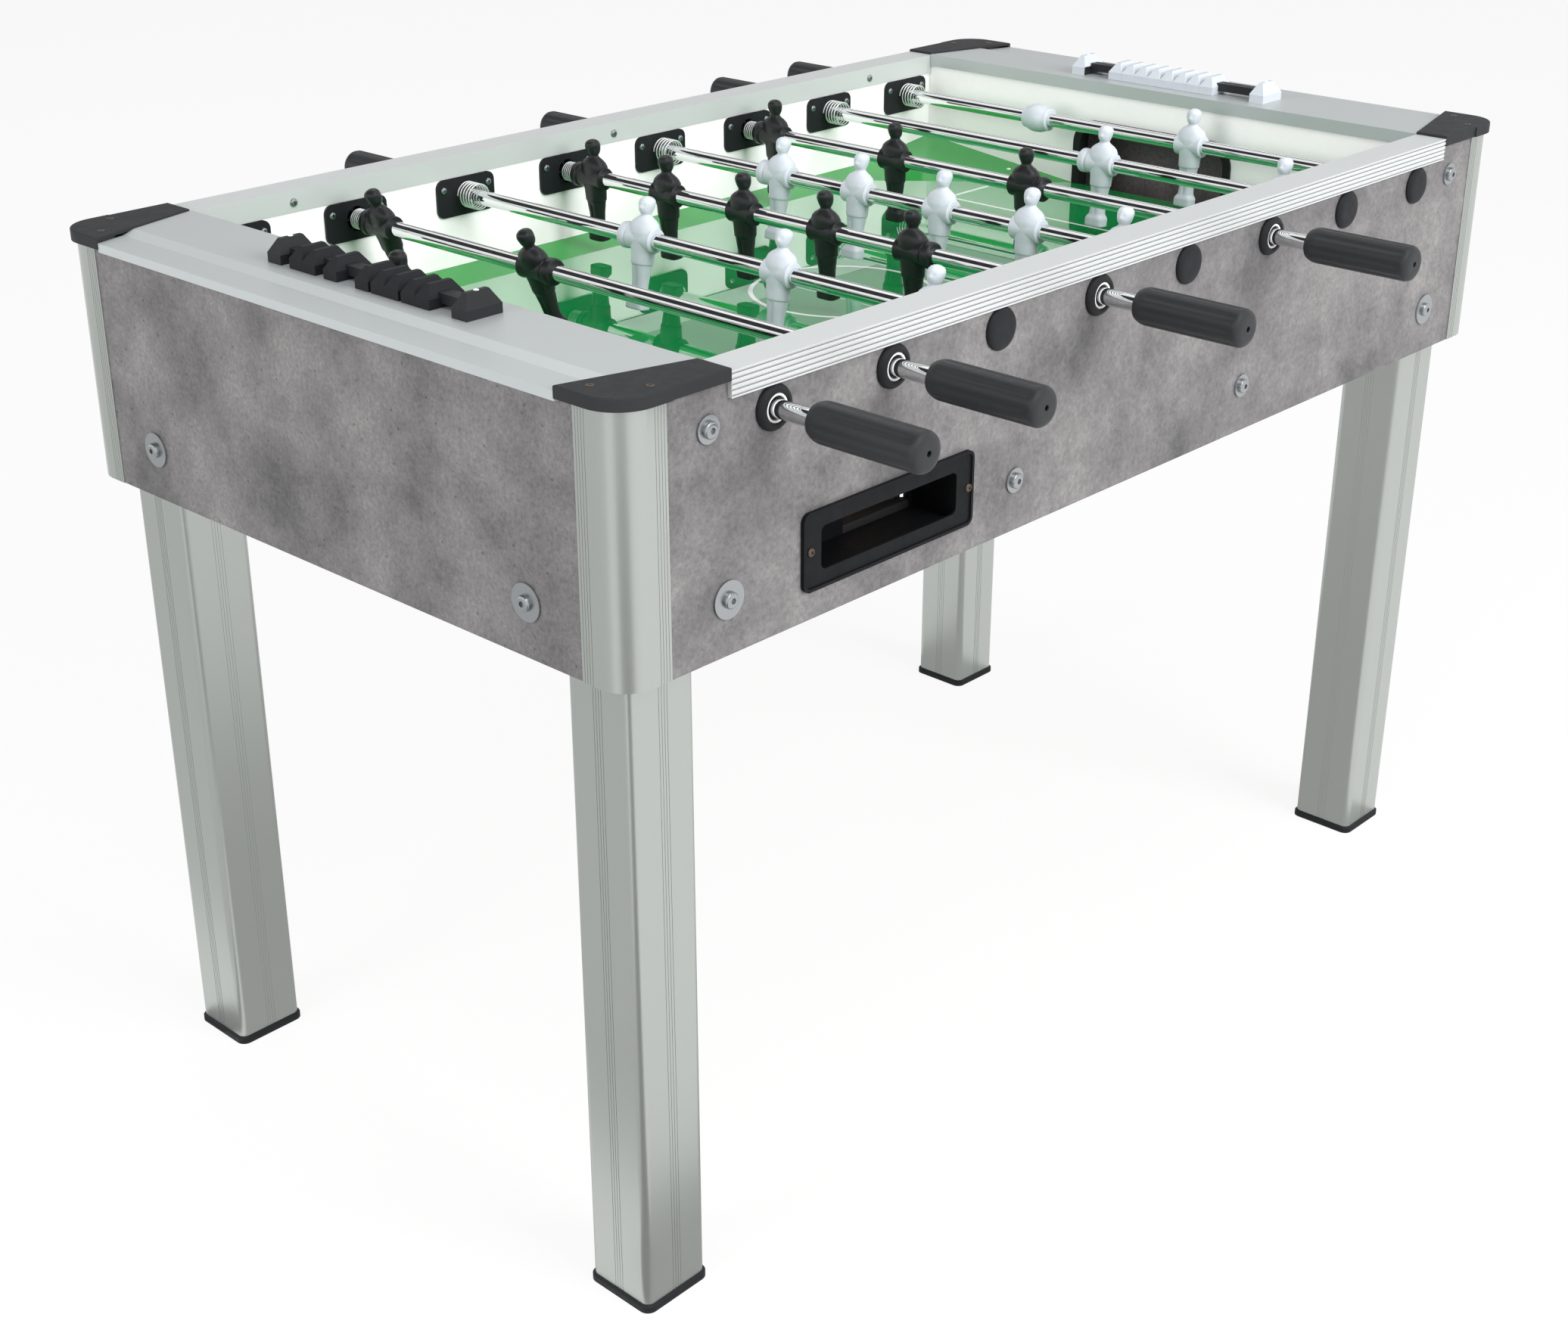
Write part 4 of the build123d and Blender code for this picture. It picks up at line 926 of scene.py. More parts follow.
class SpringWinder:
    """Geometry Nodes tree that winds a spring and sets it on marked points."""

    STEPS_A_TURN = 40
    WIRE_SIDES = 12
    EDGE_ANGLE = math.radians(60)

    def __init__(self) -> None:
        """Builds the tree with the spring's sizes as inputs."""
        self.group = bpy.data.node_groups.new("spring_winder", "GeometryNodeTree")
        face = self.group.interface
        face.new_socket("Geometry", in_out="INPUT", socket_type="NodeSocketGeometry")
        self.ids = {
            name: face.new_socket(name, in_out="INPUT", socket_type="NodeSocketFloat").identifier
            for name in ("Length", "Radius", "Wire", "Turns")}
        self.finish_id = face.new_socket(
            "Finish", in_out="INPUT", socket_type="NodeSocketMaterial").identifier
        face.new_socket("Geometry", in_out="OUTPUT", socket_type="NodeSocketGeometry")
        tree = Tree(self.group)
        given, result = tree.add("NodeGroupInput"), tree.add("NodeGroupOutput")
        helix = tree.add("GeometryNodeCurveSpiral", {"Resolution": self.STEPS_A_TURN})
        tree.link(given.outputs["Turns"], helix.inputs["Rotations"])
        tree.link(given.outputs["Length"], helix.inputs["Height"])
        for end in ("Start Radius", "End Radius"):
            tree.link(given.outputs["Radius"], helix.inputs[end])
        section = tree.add("GeometryNodeCurvePrimitiveCircle", {"Resolution": self.WIRE_SIDES})
        tree.link(given.outputs["Wire"], section.inputs["Radius"])
        wire = tree.add("GeometryNodeCurveToMesh", {"Fill Caps": True})
        tree.link(helix.outputs[0], wire.inputs["Curve"])
        tree.link(section.outputs[0], wire.inputs["Profile Curve"])
        Repeater.finish(tree, given, result, wire.outputs[0])

    def wind(self, name: str, size: SpringSize, places: Sequence[Matrix],
             finish: Finish) -> bpy.types.Mesh:
        """Winds a spring on every place.

        Args:
            name: Name of the mesh.
            size: Sizes of each spring.
            places: Where they start, with Z along them.
            finish: Their finish.

        Returns:
            One plain mesh of all of them.
        """
        values: dict[str, object] = {
            self.ids["Length"]: size.length * MM, self.ids["Radius"]: size.radius * MM,
            self.ids["Wire"]: size.wire / 2 * MM, self.ids["Turns"]: size.turns,
            self.finish_id: finish.material()}
        mesh = spread_on_points(name, self.group, places, values)
        smooth(mesh, self.EDGE_ANGLE)
        return mesh


@dataclass(frozen=True)
class SoftLight:
    """A square soft light, its power in watts; shiny faces show it only where it is mirrored."""

    name: str
    place: Point
    aim: Point
    side: float
    power: float
    mirrored: bool = True

    def hang(self) -> None:
        """Adds the light to the scene."""
        lamp = bpy.data.lights.new(self.name, "AREA")
        lamp.size = self.side
        lamp.energy = self.power
        holder = bpy.data.objects.new(self.name, lamp)
        holder.location = self.place
        ahead = Vector(self.aim) - Vector(self.place)
        holder.rotation_euler = ahead.to_track_quat("-Z", "Y").to_euler()
        holder.visible_camera = False
        holder.visible_glossy = self.mirrored
        add_to_scene(holder)


@dataclass(frozen=True)
class DarkFlag:
    """A dark card along Y that only shows as a band in polished metal."""

    x: float
    height: float
    width: float
    length: float = 5.0
    shift: float = 1.6
    aim_height: float = 0.8

    def place(self) -> Matrix:
        """Takes a card of one metre to the flag's place.

        Returns:
            The flag's place, turn and size.
        """
        tilt = Matrix.Rotation(math.atan2(self.x, self.height - self.aim_height), 4, "Y")
        shift = Matrix.Translation((self.x, self.shift, self.height))
        return shift @ tilt @ Matrix.Diagonal((self.width, self.length, 1.0, 1.0))


@dataclass(frozen=True)
class FloorCard:
    """A grey card on the floor that only metals mirror: middle line, width at both ends, level."""

    start: Span
    end: Span
    widths: Span
    level: float
    height: float = 0.002

    def corners(self) -> list[Vector]:
        """Works out the four corners.

        Returns:
            The corners, just over the floor.
        """
        start, end = Vector(self.start), Vector(self.end)
        across = (end - start).normalized().orthogonal()
        near, far = (across * width / 2 for width in self.widths)
        return [spot.to_3d() + Vector((0.0, 0.0, self.height))
                for spot in (start - near, end - far, end + far, start + near)]


@dataclass
class StudioStage:
    """Pale floor, white surround, soft lights and the camera."""

    floor_side: float = 40.0
    floor_color: Color = (0.86, 0.86, 0.86, 1.0)
    floor_rough: float = 0.8
    floor_white: float = 0.88
    surround: float = 0.42
    lights: tuple[SoftLight, ...] = (
        SoftLight("key_light", (0.6, -5.0, 3.2), (0.0, 0.2, 0.8), 3.0, 335.0, mirrored=False),
        SoftLight("side_light", (-4.6, 0.4, 2.2), (0.0, 0.0, 0.7), 2.5, 122.0, mirrored=False),
        SoftLight("top_light", (-1.1, -1.5, 4.3), (0.2, 0.1, 0.8), 3.0, 70.0),
        SoftLight("back_light", (3.0, 3.2, 4.3), (0.0, 0.0, 0.9), 2.6, 10.0),
    )
    flags: tuple[DarkFlag, ...] = (DarkFlag(1.25, 2.2, 0.4), DarkFlag(-0.8, 2.2, 1.5))
    cards: tuple[FloorCard, ...] = (
        FloorCard((-2.75, -0.4), (-2.75, 3.6), (3.9, 3.9), 0.67),
        # The card under the table is a painted shadow of the table, seen only in metals.
        FloorCard((-0.66, 0.0), (0.66, 0.0), (1.0, 0.8), 0.5),
        FloorCard((-0.66, -0.36), (-2.7, -2.55), (0.2, 1.9), 0.3),
        FloorCard((-0.66, 0.36), (-1.6, -1.24), (0.04, 0.25), 0.3),
    )
    screen: tuple[Span, Span] = ((1.6, 6.0), (6.0, 1.6))
    screen_span: Span = (1.25, 4.2)
    screen_level: float = 0.45
    lens: float = 52.86
    sensor: float = 36.0
    eye: Point = (-1.7959, -1.5902, 1.4493)
    bearing: float = 0.8202
    dip: float = 0.4401

    def build(self) -> None:
        """Sets up everything around the table."""
        self.lay_floor()
        self.light_surround()
        for light in self.lights:
            light.hang()
        for number, flag in enumerate(self.flags):
            self.hang_flag(f"dark_flag_{number}", flag)
        for number, card in enumerate(self.cards):
            self.grey_card(f"floor_card_{number}", card.corners(), card.level)
        self.hang_screen()
        self.place_camera()
        bpy.context.scene.view_settings.view_transform = "Standard"

    def white_view(self, tree: Tree) -> Socket:
        """Tells what looks at a surface.

        Args:
            tree: The surface's tree.

        Returns:
            One where the camera, a mirror or glass looks.
        """
        path = tree.add("ShaderNodeLightPath")
        seen = tree.math("MAXIMUM", path.outputs["Is Camera Ray"], path.outputs["Is Glossy Ray"])
        return tree.math("MAXIMUM", seen, path.outputs["Is Transmission Ray"])

    def lay_floor(self) -> None:
        """Lays a plain pale floor that keeps the table's shadow."""
        shape = bmesh.new()
        bmesh.ops.create_grid(shape, x_segments=1, y_segments=1, size=self.floor_side / 2)
        mesh = bpy.data.meshes.new("floor")
        shape.to_mesh(mesh)
        shape.free()
        floor = bpy.data.objects.new("floor", mesh)
        add_to_scene(floor)
        pale = bpy.data.materials.new("pale_floor")
        pale.use_nodes = True
        tree = Tree(pale.node_tree)
        shader = pale.node_tree.nodes["Principled BSDF"]
        shader.inputs["Base Color"].default_value = self.floor_color
        shader.inputs["Roughness"].default_value = self.floor_rough
        glow = tree.add("ShaderNodeEmission", {"Strength": 1.0})
        mixed = tree.add("ShaderNodeMixShader")
        white = tree.math("MULTIPLY", self.white_view(tree), self.floor_white)
        tree.link(white, mixed.inputs[0])
        tree.link(shader.outputs[0], mixed.inputs[1])
        tree.link(glow.outputs[0], mixed.inputs[2])
        tree.link(mixed.outputs[0], pale.node_tree.nodes["Material Output"].inputs["Surface"])
        mesh.materials.append(pale)

    def light_surround(self) -> None:
        """Makes the surround white to look at and softer as a light."""
        world = bpy.data.worlds.new("studio")
        world.use_nodes = True
        bpy.context.scene.world = world
        tree = Tree(world.node_tree)
        back = world.node_tree.nodes["Background"]
        back.inputs["Color"].default_value = (1.0, 1.0, 1.0, 1.0)
        level = tree.add("ShaderNodeMix", {"A": self.surround, "B": 1.0}, data_type="FLOAT")
        tree.link(self.white_view(tree), level.inputs[0])
        tree.link(level.outputs[0], back.inputs["Strength"])

    def hang_flag(self, name: str, flag: DarkFlag) -> None:
        """Hangs a dark flag over the table.

        Args:
            name: Name of the card.
            flag: Its place and size.
        """
        shape = bmesh.new()
        bmesh.ops.create_grid(shape, x_segments=1, y_segments=1, size=0.5)
        shape.transform(flag.place())
        self.only_mirrored(name, shape, RECESS.material())

    def hang_screen(self) -> None:
        """Hangs a grey screen behind the table that only shows in the field, rods and rails."""
        low, high = self.screen_span
        corners = [Vector((x, y, low)) for x, y in self.screen]
        corners += [Vector((x, y, high)) for x, y in self.screen[::-1]]
        self.grey_card("back_screen", corners, self.screen_level)

    def grey_card(self, name: str, corners: Sequence[Vector], level: float) -> None:
        """Adds an evenly grey stage card.

        Args:
            name: Name of the card.
            corners: Its corners, in order.
            level: How bright it looks, where one is white.
        """
        shape = bmesh.new()
        shape.faces.new([shape.verts.new(corner) for corner in corners])
        grey = bpy.data.materials.new(name)
        grey.use_nodes = True
        tree = Tree(grey.node_tree)
        glow = tree.add("ShaderNodeEmission", {"Strength": level})
        tree.link(glow.outputs[0], grey.node_tree.nodes["Material Output"].inputs["Surface"])
        self.only_mirrored(name, shape, grey)

    def only_mirrored(self, name: str, shape: bmesh.types.BMesh,
                      material: bpy.types.Material) -> None:
        """Adds a stage card that the camera doesn't see and that throws no shadow.

        Args:
            name: Name of the card.
            shape: Its form, which is freed.
            material: Its material.
        """
        mesh = bpy.data.meshes.new(name)
        shape.to_mesh(mesh)
        shape.free()
        mesh.materials.append(material)
        card = bpy.data.objects.new(name, mesh)
        add_to_scene(card)
        card.visible_camera = False
        card.visible_diffuse = False
        card.visible_shadow = False

    def place_camera(self) -> None:
        """Places the camera at the photograph's viewing angle."""
        eye = bpy.data.cameras.new("eye")
        eye.lens = self.lens
        eye.sensor_width = self.sensor
        holder = bpy.data.objects.new("eye", eye)
        holder.location = self.eye
        level = math.cos(self.dip)
        ahead = Vector((math.sin(self.bearing) * level, math.cos(self.bearing) * level,
                        -math.sin(self.dip)))
        holder.rotation_euler = ahead.to_track_quat("-Z", "Y").to_euler()
        add_to_scene(holder)
        bpy.context.scene.camera = holder


@dataclass
class CabinetShell:
    """Cabinet, field, legs and the other fixed pieces that keep their CAD form."""

    finishes: dict[str, Finish] = field(default_factory=lambda: {
        "cabinet_panels": LAMINATE, "inner_walls": WHITE_WALL, "field_board": WOOD,
        "field_sheet": FIELD, "field_timbers": WOOD, "field_ramps": RAMP,
        "goal_frames": BLACK_PLASTIC, "ball_trays": TRAY_PLASTIC, "ball_chutes": CHUTE_WOOD,
        "corner_posts": POST_METAL, "corner_caps": CAP_PLASTIC, "side_rails": RAIL_METAL,
        "end_tops": TOP_METAL, "legs": POST_METAL, "leg_feet": BLACK_PLASTIC,
        "leg_brackets": ZINC, "bearing_plates": BLACK_PLASTIC, "cabinet_bolts": ZINC,
        "counter_mounts": MOUNTS})

    def build(self, nodes: dict[str, bpy.types.Object]) -> None:
        """Dresses each node with its finish."""
        for name, finish in self.finishes.items():
            dress_node(nodes[name], finish)


@dataclass
class ScoreCounters:
    """The rows of sliding beads on both ends."""

    black_groups: tuple[str, ...] = tuple(f"black_beads_{k}" for k in range(1, 6))
    grey_group: str = "grey_beads"

    def build(self, nodes: dict[str, bpy.types.Object]) -> None:
        """Dresses the beads of both teams.

        Args:
            nodes: The CAD nodes' objects by name.
        """
        for name in self.black_groups:
            dress_node(nodes[name], BLACK_PLASTIC)
        dress_node(nodes[self.grey_group], GREY_FIGURE)


ROD_PITCH = 147.0
ROD_HEIGHT = 852.0
MIDDLE_INDEX = 3.5
ROD_LINE = (Matrix.Translation((0.0, 0.0, ROD_HEIGHT * MM))
            @ Matrix.Rotation(-math.pi / 2, 4, "X"))


@dataclass(frozen=True)
class RowPlan:
    """One rod: its place, its team, and its figures with their spacing and lean in degrees."""

    name: str
    index: int
    team: Team
    count: int
    spacing: float
    lean: float

    @property
    def x(self) -> float:
        """The rod's place along the table."""
        return (self.index - MIDDLE_INDEX) * ROD_PITCH

    def place(self) -> Matrix:
        """From the rod's own frame, grip towards -Y, to the table."""
        shift = Matrix.Translation((self.x * MM, 0.0, 0.0))
        return shift @ Matrix.Rotation(self.team.value, 4, "Z")


ROWS = (
    RowPlan("black_keeper", 0, Team.BLACK, 1, 0.0, 3.0),
    RowPlan("black_defence", 1, Team.BLACK, 2, 235.0, 20.0),
    RowPlan("grey_attack", 2, Team.GREY, 3, 188.0, 9.0),
    RowPlan("black_midfield", 3, Team.BLACK, 5, 115.5, 3.0),
    RowPlan("grey_midfield", 4, Team.GREY, 5, 115.5, 7.0),
    RowPlan("black_attack", 5, Team.BLACK, 3, 188.0, 2.0),
    RowPlan("grey_defence", 6, Team.GREY, 2, 235.0, 5.0),
    RowPlan("grey_keeper", 7, Team.GREY, 1, 0.0, 4.0),
)


def along_rod(y: float, turned: bool = False) -> Matrix:
    """Frame on the rod's line whose Z points along +Y, or along -Y where turned."""
    flip = Matrix.Rotation(math.pi, 4, "X") if turned else Matrix.Identity(4)
    return ROD_LINE @ Matrix.Translation((0.0, 0.0, y * MM)) @ flip


class Section(NamedTuple):
    """One level of a figure: half its width and depth, its shift ahead and how square it is."""

    height: float
    wide: float
    deep: float
    ahead: float
    power: float


@dataclass(frozen=True)
class Swell:
    """A soft rise or dent, a negative one, on the front of a head, alike on both sides."""

    rise: float
    side: float
    breadth: float
    height: float
    depth: float

    def at(self, side: float, height: float) -> float:
        """How far it stands out at an angle from the front and a height.

        Args:
            side: Angle from the front.
            height: Height on the figure.

        Returns:
            The rise there.
        """
        across = (abs(side) - self.side) / self.breadth
        upwards = (height - self.height) / self.depth
        return self.rise * math.exp(-(across ** 2) - upwards ** 2)


@dataclass
class Figure:
    """One player: a plain generic figure on a boss that the rod goes through."""

    sections: tuple[Section, ...] = (
        Section(-71.0, 11.4, 8.0, 1.2, 4.0), Section(-70.2, 12.0, 8.5, 1.2, 4.0),
        Section(-62.0, 12.0, 8.5, 1.0, 4.0), Section(-60.4, 11.3, 8.0, 0.8, 3.4),
        Section(-57.5, 9.2, 7.2, 0.2, 2.7), Section(-50.0, 8.7, 6.9, 0.0, 2.4),
        Section(-41.0, 9.3, 7.5, 0.0, 2.3), Section(-31.0, 10.7, 8.5, 0.0, 2.3),
        Section(-26.2, 11.3, 9.0, 0.0, 2.3), Section(-25.4, 12.2, 9.8, 0.0, 2.3),
        Section(-24.2, 12.5, 10.0, 0.0, 2.3), Section(-15.0, 13.0, 10.3, 0.0, 2.3),
        Section(-7.0, 14.4, 11.0, 0.2, 2.3), Section(0.0, 16.0, 11.6, 0.4, 2.3),
        Section(7.0, 17.2, 11.9, 0.4, 2.3), Section(12.5, 17.2, 11.2, 0.2, 2.3),
        Section(16.5, 15.6, 9.9, 0.0, 2.2), Section(19.6, 12.2, 8.2, 0.0, 2.1),
        Section(21.8, 8.3, 6.6, 0.0, 2.0), Section(23.4, 6.1, 5.6, 0.1, 2.0),
        Section(24.8, 5.6, 5.5, 0.4, 2.0), Section(26.0, 6.0, 6.2, 0.9, 2.0),
        Section(27.6, 6.8, 7.2, 1.0, 2.0), Section(30.0, 7.6, 8.0, 0.8, 2.0),
        Section(33.0, 8.3, 8.5, 0.4, 2.0), Section(36.0, 8.5, 8.7, 0.0, 2.0),
        Section(38.6, 7.8, 8.1, -0.1, 2.0), Section(40.6, 6.1, 6.4, -0.1, 2.0),
        Section(41.9, 3.6, 3.9, -0.1, 2.0), Section(42.4, 1.4, 1.5, -0.1, 2.0))
    steps: int = 48
    section_step: float = 1.6
    easing: float = 0.35
    groove: float = 1.5
    groove_breadth: float = 0.2
    groove_span: Span = (-59.0, -26.0)
    groove_fade: float = 6.0
    nose: Swell = Swell(1.5, 0.0, 0.16, 31.6, 1.9)
    eyes: Swell = Swell(-0.7, 0.42, 0.2, 33.4, 1.3)
    mouth: Swell = Swell(-0.3, 0.0, 0.35, 28.9, 0.6)
    boss: Profile = ((8.05, -17.5), (11.6, -17.5), (12.4, -16.8), (12.6, -15.0), (12.0, -12.0),
                     (12.0, 12.0), (12.6, 15.0), (12.4, 16.8), (11.6, 17.5), (8.05, 17.5))
    boss_steps: int = 40
    edge_angle: float = math.radians(38)

    def carve(self, angle: float, height: float) -> float:
        """Adds the legs' groove and a plain face.

        Args:
            angle: Angle from the front.
            height: Height from the rod.

        Returns:
            Extra reach there.
        """
        front = math.cos(angle)
        side = math.atan2(math.sin(angle), abs(front))
        low, high = self.groove_span
        extra = 0.0
        if low < height < high:
            fade = min(1.0, (high - height) / self.groove_fade, (height - low) / self.groove_fade)
            extra -= self.groove * math.exp(-((side / self.groove_breadth) ** 2)) * fade
        if front > 0.0:
            for swell in (self.nose, self.eyes, self.mouth):
                extra += swell.at(side, height)
        return extra

    def reach(self, angle: float, section: Section) -> tuple[float, float]:
        """Finds a point of a section.

        Args:
            angle: Angle from the front.
            section: The section.

        Returns:
            The point's X and Y.
        """
        height, wide, deep, ahead, power = section
        c, s = math.cos(angle), math.sin(angle)
        size = (abs(c / deep) ** power + abs(s / wide) ** power) ** (-1.0 / power)
        size += self.carve(angle, height)
        return ahead + size * c, size * s

    def smooth_sections(self) -> list[Section]:
        """Adds sections between those that are far apart.

        Returns:
            All sections from the foot up.
        """
        fine = [self.sections[0]]
        for low, high in zip(self.sections, self.sections[1:]):
            count = max(1, round((high.height - low.height) / self.section_step))
            for k in range(1, count + 1):
                share = k / count
                soft = share * share * (3.0 - 2.0 * share)
                eased = soft * self.easing + share * (1.0 - self.easing)
                sizes = [a + (b - a) * eased for a, b in zip(low[1:], high[1:])]
                fine.append(Section(low.height + (high.height - low.height) * share, *sizes))
        return fine

    def mesh(self, name: str) -> bpy.types.Mesh:
        """Builds the figure about the rod's line, its front towards +X.

        Args:
            name: Name of the mesh.

        Returns:
            The figure's mesh.
        """
        shape = bmesh.new()
        angles = [2.0 * math.pi * k / self.steps for k in range(self.steps)]
        rings = []
        for section in self.smooth_sections():
            points = [self.reach(angle, section) for angle in angles]
            level = section.height * MM
            rings.append([shape.verts.new((x * MM, y * MM, level)) for x, y in points])
        stitch(shape, rings, False)
        shape.faces.new(rings[0])
        shape.faces.new(rings[-1])
        turned = Matrix.Rotation(-math.pi / 2, 4, "X")
        turn_profile(shape, self.boss, turned, self.boss_steps, closed=True)
        return to_mesh(shape, name, self.edge_angle)


@dataclass
class PlayerRow:
    """One telescopic rod with its grip, figures, collars and stop rings.

    Heights in the profiles run along Y in the rod's own frame, where the grip is towards -Y.
    """

    plan: RowPlan
    repeater: Repeater
    first_face: float = 332.2
    boss_half: float = 17.5
    turned_steps: int = 56
    tube_radius: float = 8.0
    bore_radius: float = 5.55
    tube_ends: Span = (331.7, -530.0)
    tube_bevel: float = 0.6
    core_radius: float = 5.5
    core_end: float = -250.0
    core_bevel: float = 0.8
    head_radius: float = 9.0
    head_ends: Span = (365.2, 369.2)
    head_bevel: float = 0.5
    grip_mouth: Profile = ((8.06, -430.0), (13.4, -430.0), (14.6, -430.9), (15.8, -433.0),
                           (17.0, -436.2), (17.6, -439.0))
    grip_radius: float = 17.75
    grip_start: float = -442.0
    grip_length: float = 96.0
    grip_rows: int = 24
    grip_tip: Profile = ((17.72, -539.4), (17.5, -540.8), (16.9, -542.4), (15.9, -543.8),
                         (14.5, -544.9), (12.6, -545.6), (10.0, -545.9), (6.0, -546.0),
                         (2.9, -546.0), (2.5, -545.6), (2.4, -540.0), (0.0, -540.0))
    grip_steps: int = 96
    flutes: int = 8
    flute_depth: float = 0.07
    flute_ends: Span = (-543.0, -436.0)
    flute_fades: Span = (9.0, 8.0)
    collar: float = 10.5
    collar_profile: Profile = ((8.05, 0.3), (11.6, 0.3), (13.4, 2.2), (13.5, 3.0), (13.5, 8.4),
                               (13.2, 9.2), (11.9, 10.5), (8.05, 10.5))
    stop_ring: float = 36.0
    stop_radius: float = 17.0
    stop_flank: Profile = ((8.05, 0.0), (12.6, 0.0), (13.4, 0.8), (13.6, 4.0), (15.4, 8.0),
                           (16.6, 12.5))
    keeper_to_ring: float = 224.0
    ring_steps: int = 48
    ring_angle: float = math.radians(40)

    def build(self) -> None:
        """Builds the rod's pieces."""
        self.tube()
        self.core()
        self.grip()
        self.figures()
        self.collars()

    @property
    def rod(self) -> str:
        """The body that slides."""
        return f"{self.plan.name}_rod"

    def turned(self, name: str, profile: Profile, finish: Finish, body: str, node: str,
               slot: str, ripple: Ripple | None = None, segments: int | None = None,
               closed: bool = True) -> None:
        """Makes a piece that is turned about the rod's line.

        Args:
            name: Name of the piece.
            profile: Points as radius and height along the rod.
            finish: Its finish.
            body: The body that it moves with.
            node: The CAD node that it stands for.
            slot: The record's material slot; not used.
            ripple: Factor on the radius for an angle and a height.
            segments: Steps round the rod, where they aren't the usual ones.
            closed: True where the profile is a closed loop.
        """
        shape = bmesh.new()
        place = self.plan.place() @ ROD_LINE
        turn_profile(shape, profile, place, segments or self.turned_steps, closed, ripple)
        new_piece(name, to_mesh(shape, name), finish, body, (node,))

    def tube(self) -> None:
        """Makes the polished outer tube."""
        wide, bore, cut = self.tube_radius, self.bore_radius, self.tube_bevel
        top, end = self.tube_ends
        profile = [(bore, top), (wide - cut, top), (wide, top - cut), (wide, end + cut),
                   (wide - cut, end), (bore, end)]
        self.turned(f"{self.plan.name}_chrome_tube", profile, CHROME, self.rod,
                    f"{self.plan.name}_tube", "chrome")

    def core(self) -> None:
        """Makes the inner rod with its head in the far wall."""
        slim, end, cut = self.core_radius, self.core_end, self.core_bevel
        wide, soft = self.head_radius, self.head_bevel
        seat, top = self.head_ends
        profile = [(0.0, end), (slim - cut, end), (slim, end + cut), (slim, seat),
                   (wide - soft, seat), (wide, seat + soft), (wide, top - soft),
                   (wide - soft, top), (0.0, top)]
        self.turned(f"{self.plan.name}_inner_rod", profile, OILED_STEEL,
                    f"{self.plan.name}_core", f"{self.plan.name}_core", "chrome", closed=False)

    def flute(self, angle: float, height: float) -> float:
        """Works out the grip's broad flutes.

        Args:
            angle: Angle round the grip.
            height: Place along the rod.

        Returns:
            Factor on the grip's radius.
        """
        end, start = self.flute_ends
        end_fade, start_fade = self.flute_fades
        fade = min(1.0, max(0.0, (height - end) / end_fade),
                   max(0.0, (start - height) / start_fade))
        wave = 0.5 + 0.5 * math.cos(self.flutes * angle)
        return 1.0 - self.flute_depth * fade * wave ** 2

    def grip(self) -> None:
        """Makes the moulded grip with broad shallow flutes and a domed end."""
        step = self.grip_length / self.grip_rows
        body = [(self.grip_radius, self.grip_start - step * k) for k in range(self.grip_rows + 1)]
        profile = [*self.grip_mouth, *body, *self.grip_tip]
        self.turned(f"{self.plan.name}_moulded_grip", profile, GRIP_PLASTIC, self.rod,
                    f"{self.plan.name}_grip", "black_plastic", self.flute, self.grip_steps,
                    closed=False)

    def centres(self) -> list[float]:
        """Works out where the figures are.

        Returns:
            Their places along the rod.
        """
        if self.plan.count == 1:
            return [self.first_face - self.stop_ring / 2 - self.keeper_to_ring]
        first = self.first_face - self.collar - self.boss_half
        return [first - k * self.plan.spacing for k in range(self.plan.count)]

    def team_finish(self) -> tuple[Finish, str]:
        """Picks what the team's pieces are made of.

        Returns:
            Finish and material slot.
        """
        if self.plan.team is Team.BLACK:
            return BLACK_FIGURE, "black_figures"
        return GREY_FIGURE, "grey_figures"

    def figures(self) -> None:
        """Sets the figures on the rod."""
        finish, slot = self.team_finish()
        lean = Matrix.Rotation(math.radians(-self.plan.lean), 4, "Y")
        line = self.plan.place() @ Matrix.Translation((0.0, 0.0, ROD_HEIGHT * MM))
        places = [line @ Matrix.Translation((0.0, y * MM, 0.0)) @ lean for y in self.centres()]
        name = f"{self.plan.name}_figures"
        self.repeater.set_piece(name, Figure().mesh(f"{name}_one"), places, finish, slot,
                                self.rod, (f"{self.plan.name}_players",))

    def collars(self) -> None:
        """Sets the collars, or the keeper's stop rings, beside the figures."""
        if self.plan.count == 1:
            half, flank = self.stop_ring / 2, self.stop_flank
            profile = [(radius, deep - half) for radius, deep in flank]
            profile.append((self.stop_radius, 0.0))
            profile += [(radius, half - deep) for radius, deep in reversed(flank)]
            away = self.keeper_to_ring
        else:
            profile = self.collar_profile
            away = self.boss_half
        shape = bmesh.new()
        turn_profile(shape, profile, Matrix.Identity(4), self.ring_steps, closed=True)
        ring = to_mesh(shape, f"{self.plan.name}_ring", self.ring_angle)
        centres = self.centres()
        places = [self.plan.place() @ along_rod(centres[0] + away),
                  self.plan.place() @ along_rod(centres[-1] - away, turned=True)]
        finish, slot = self.team_finish()
        self.repeater.set_piece(f"{self.plan.name}_collars", ring, places, finish, slot, self.rod)


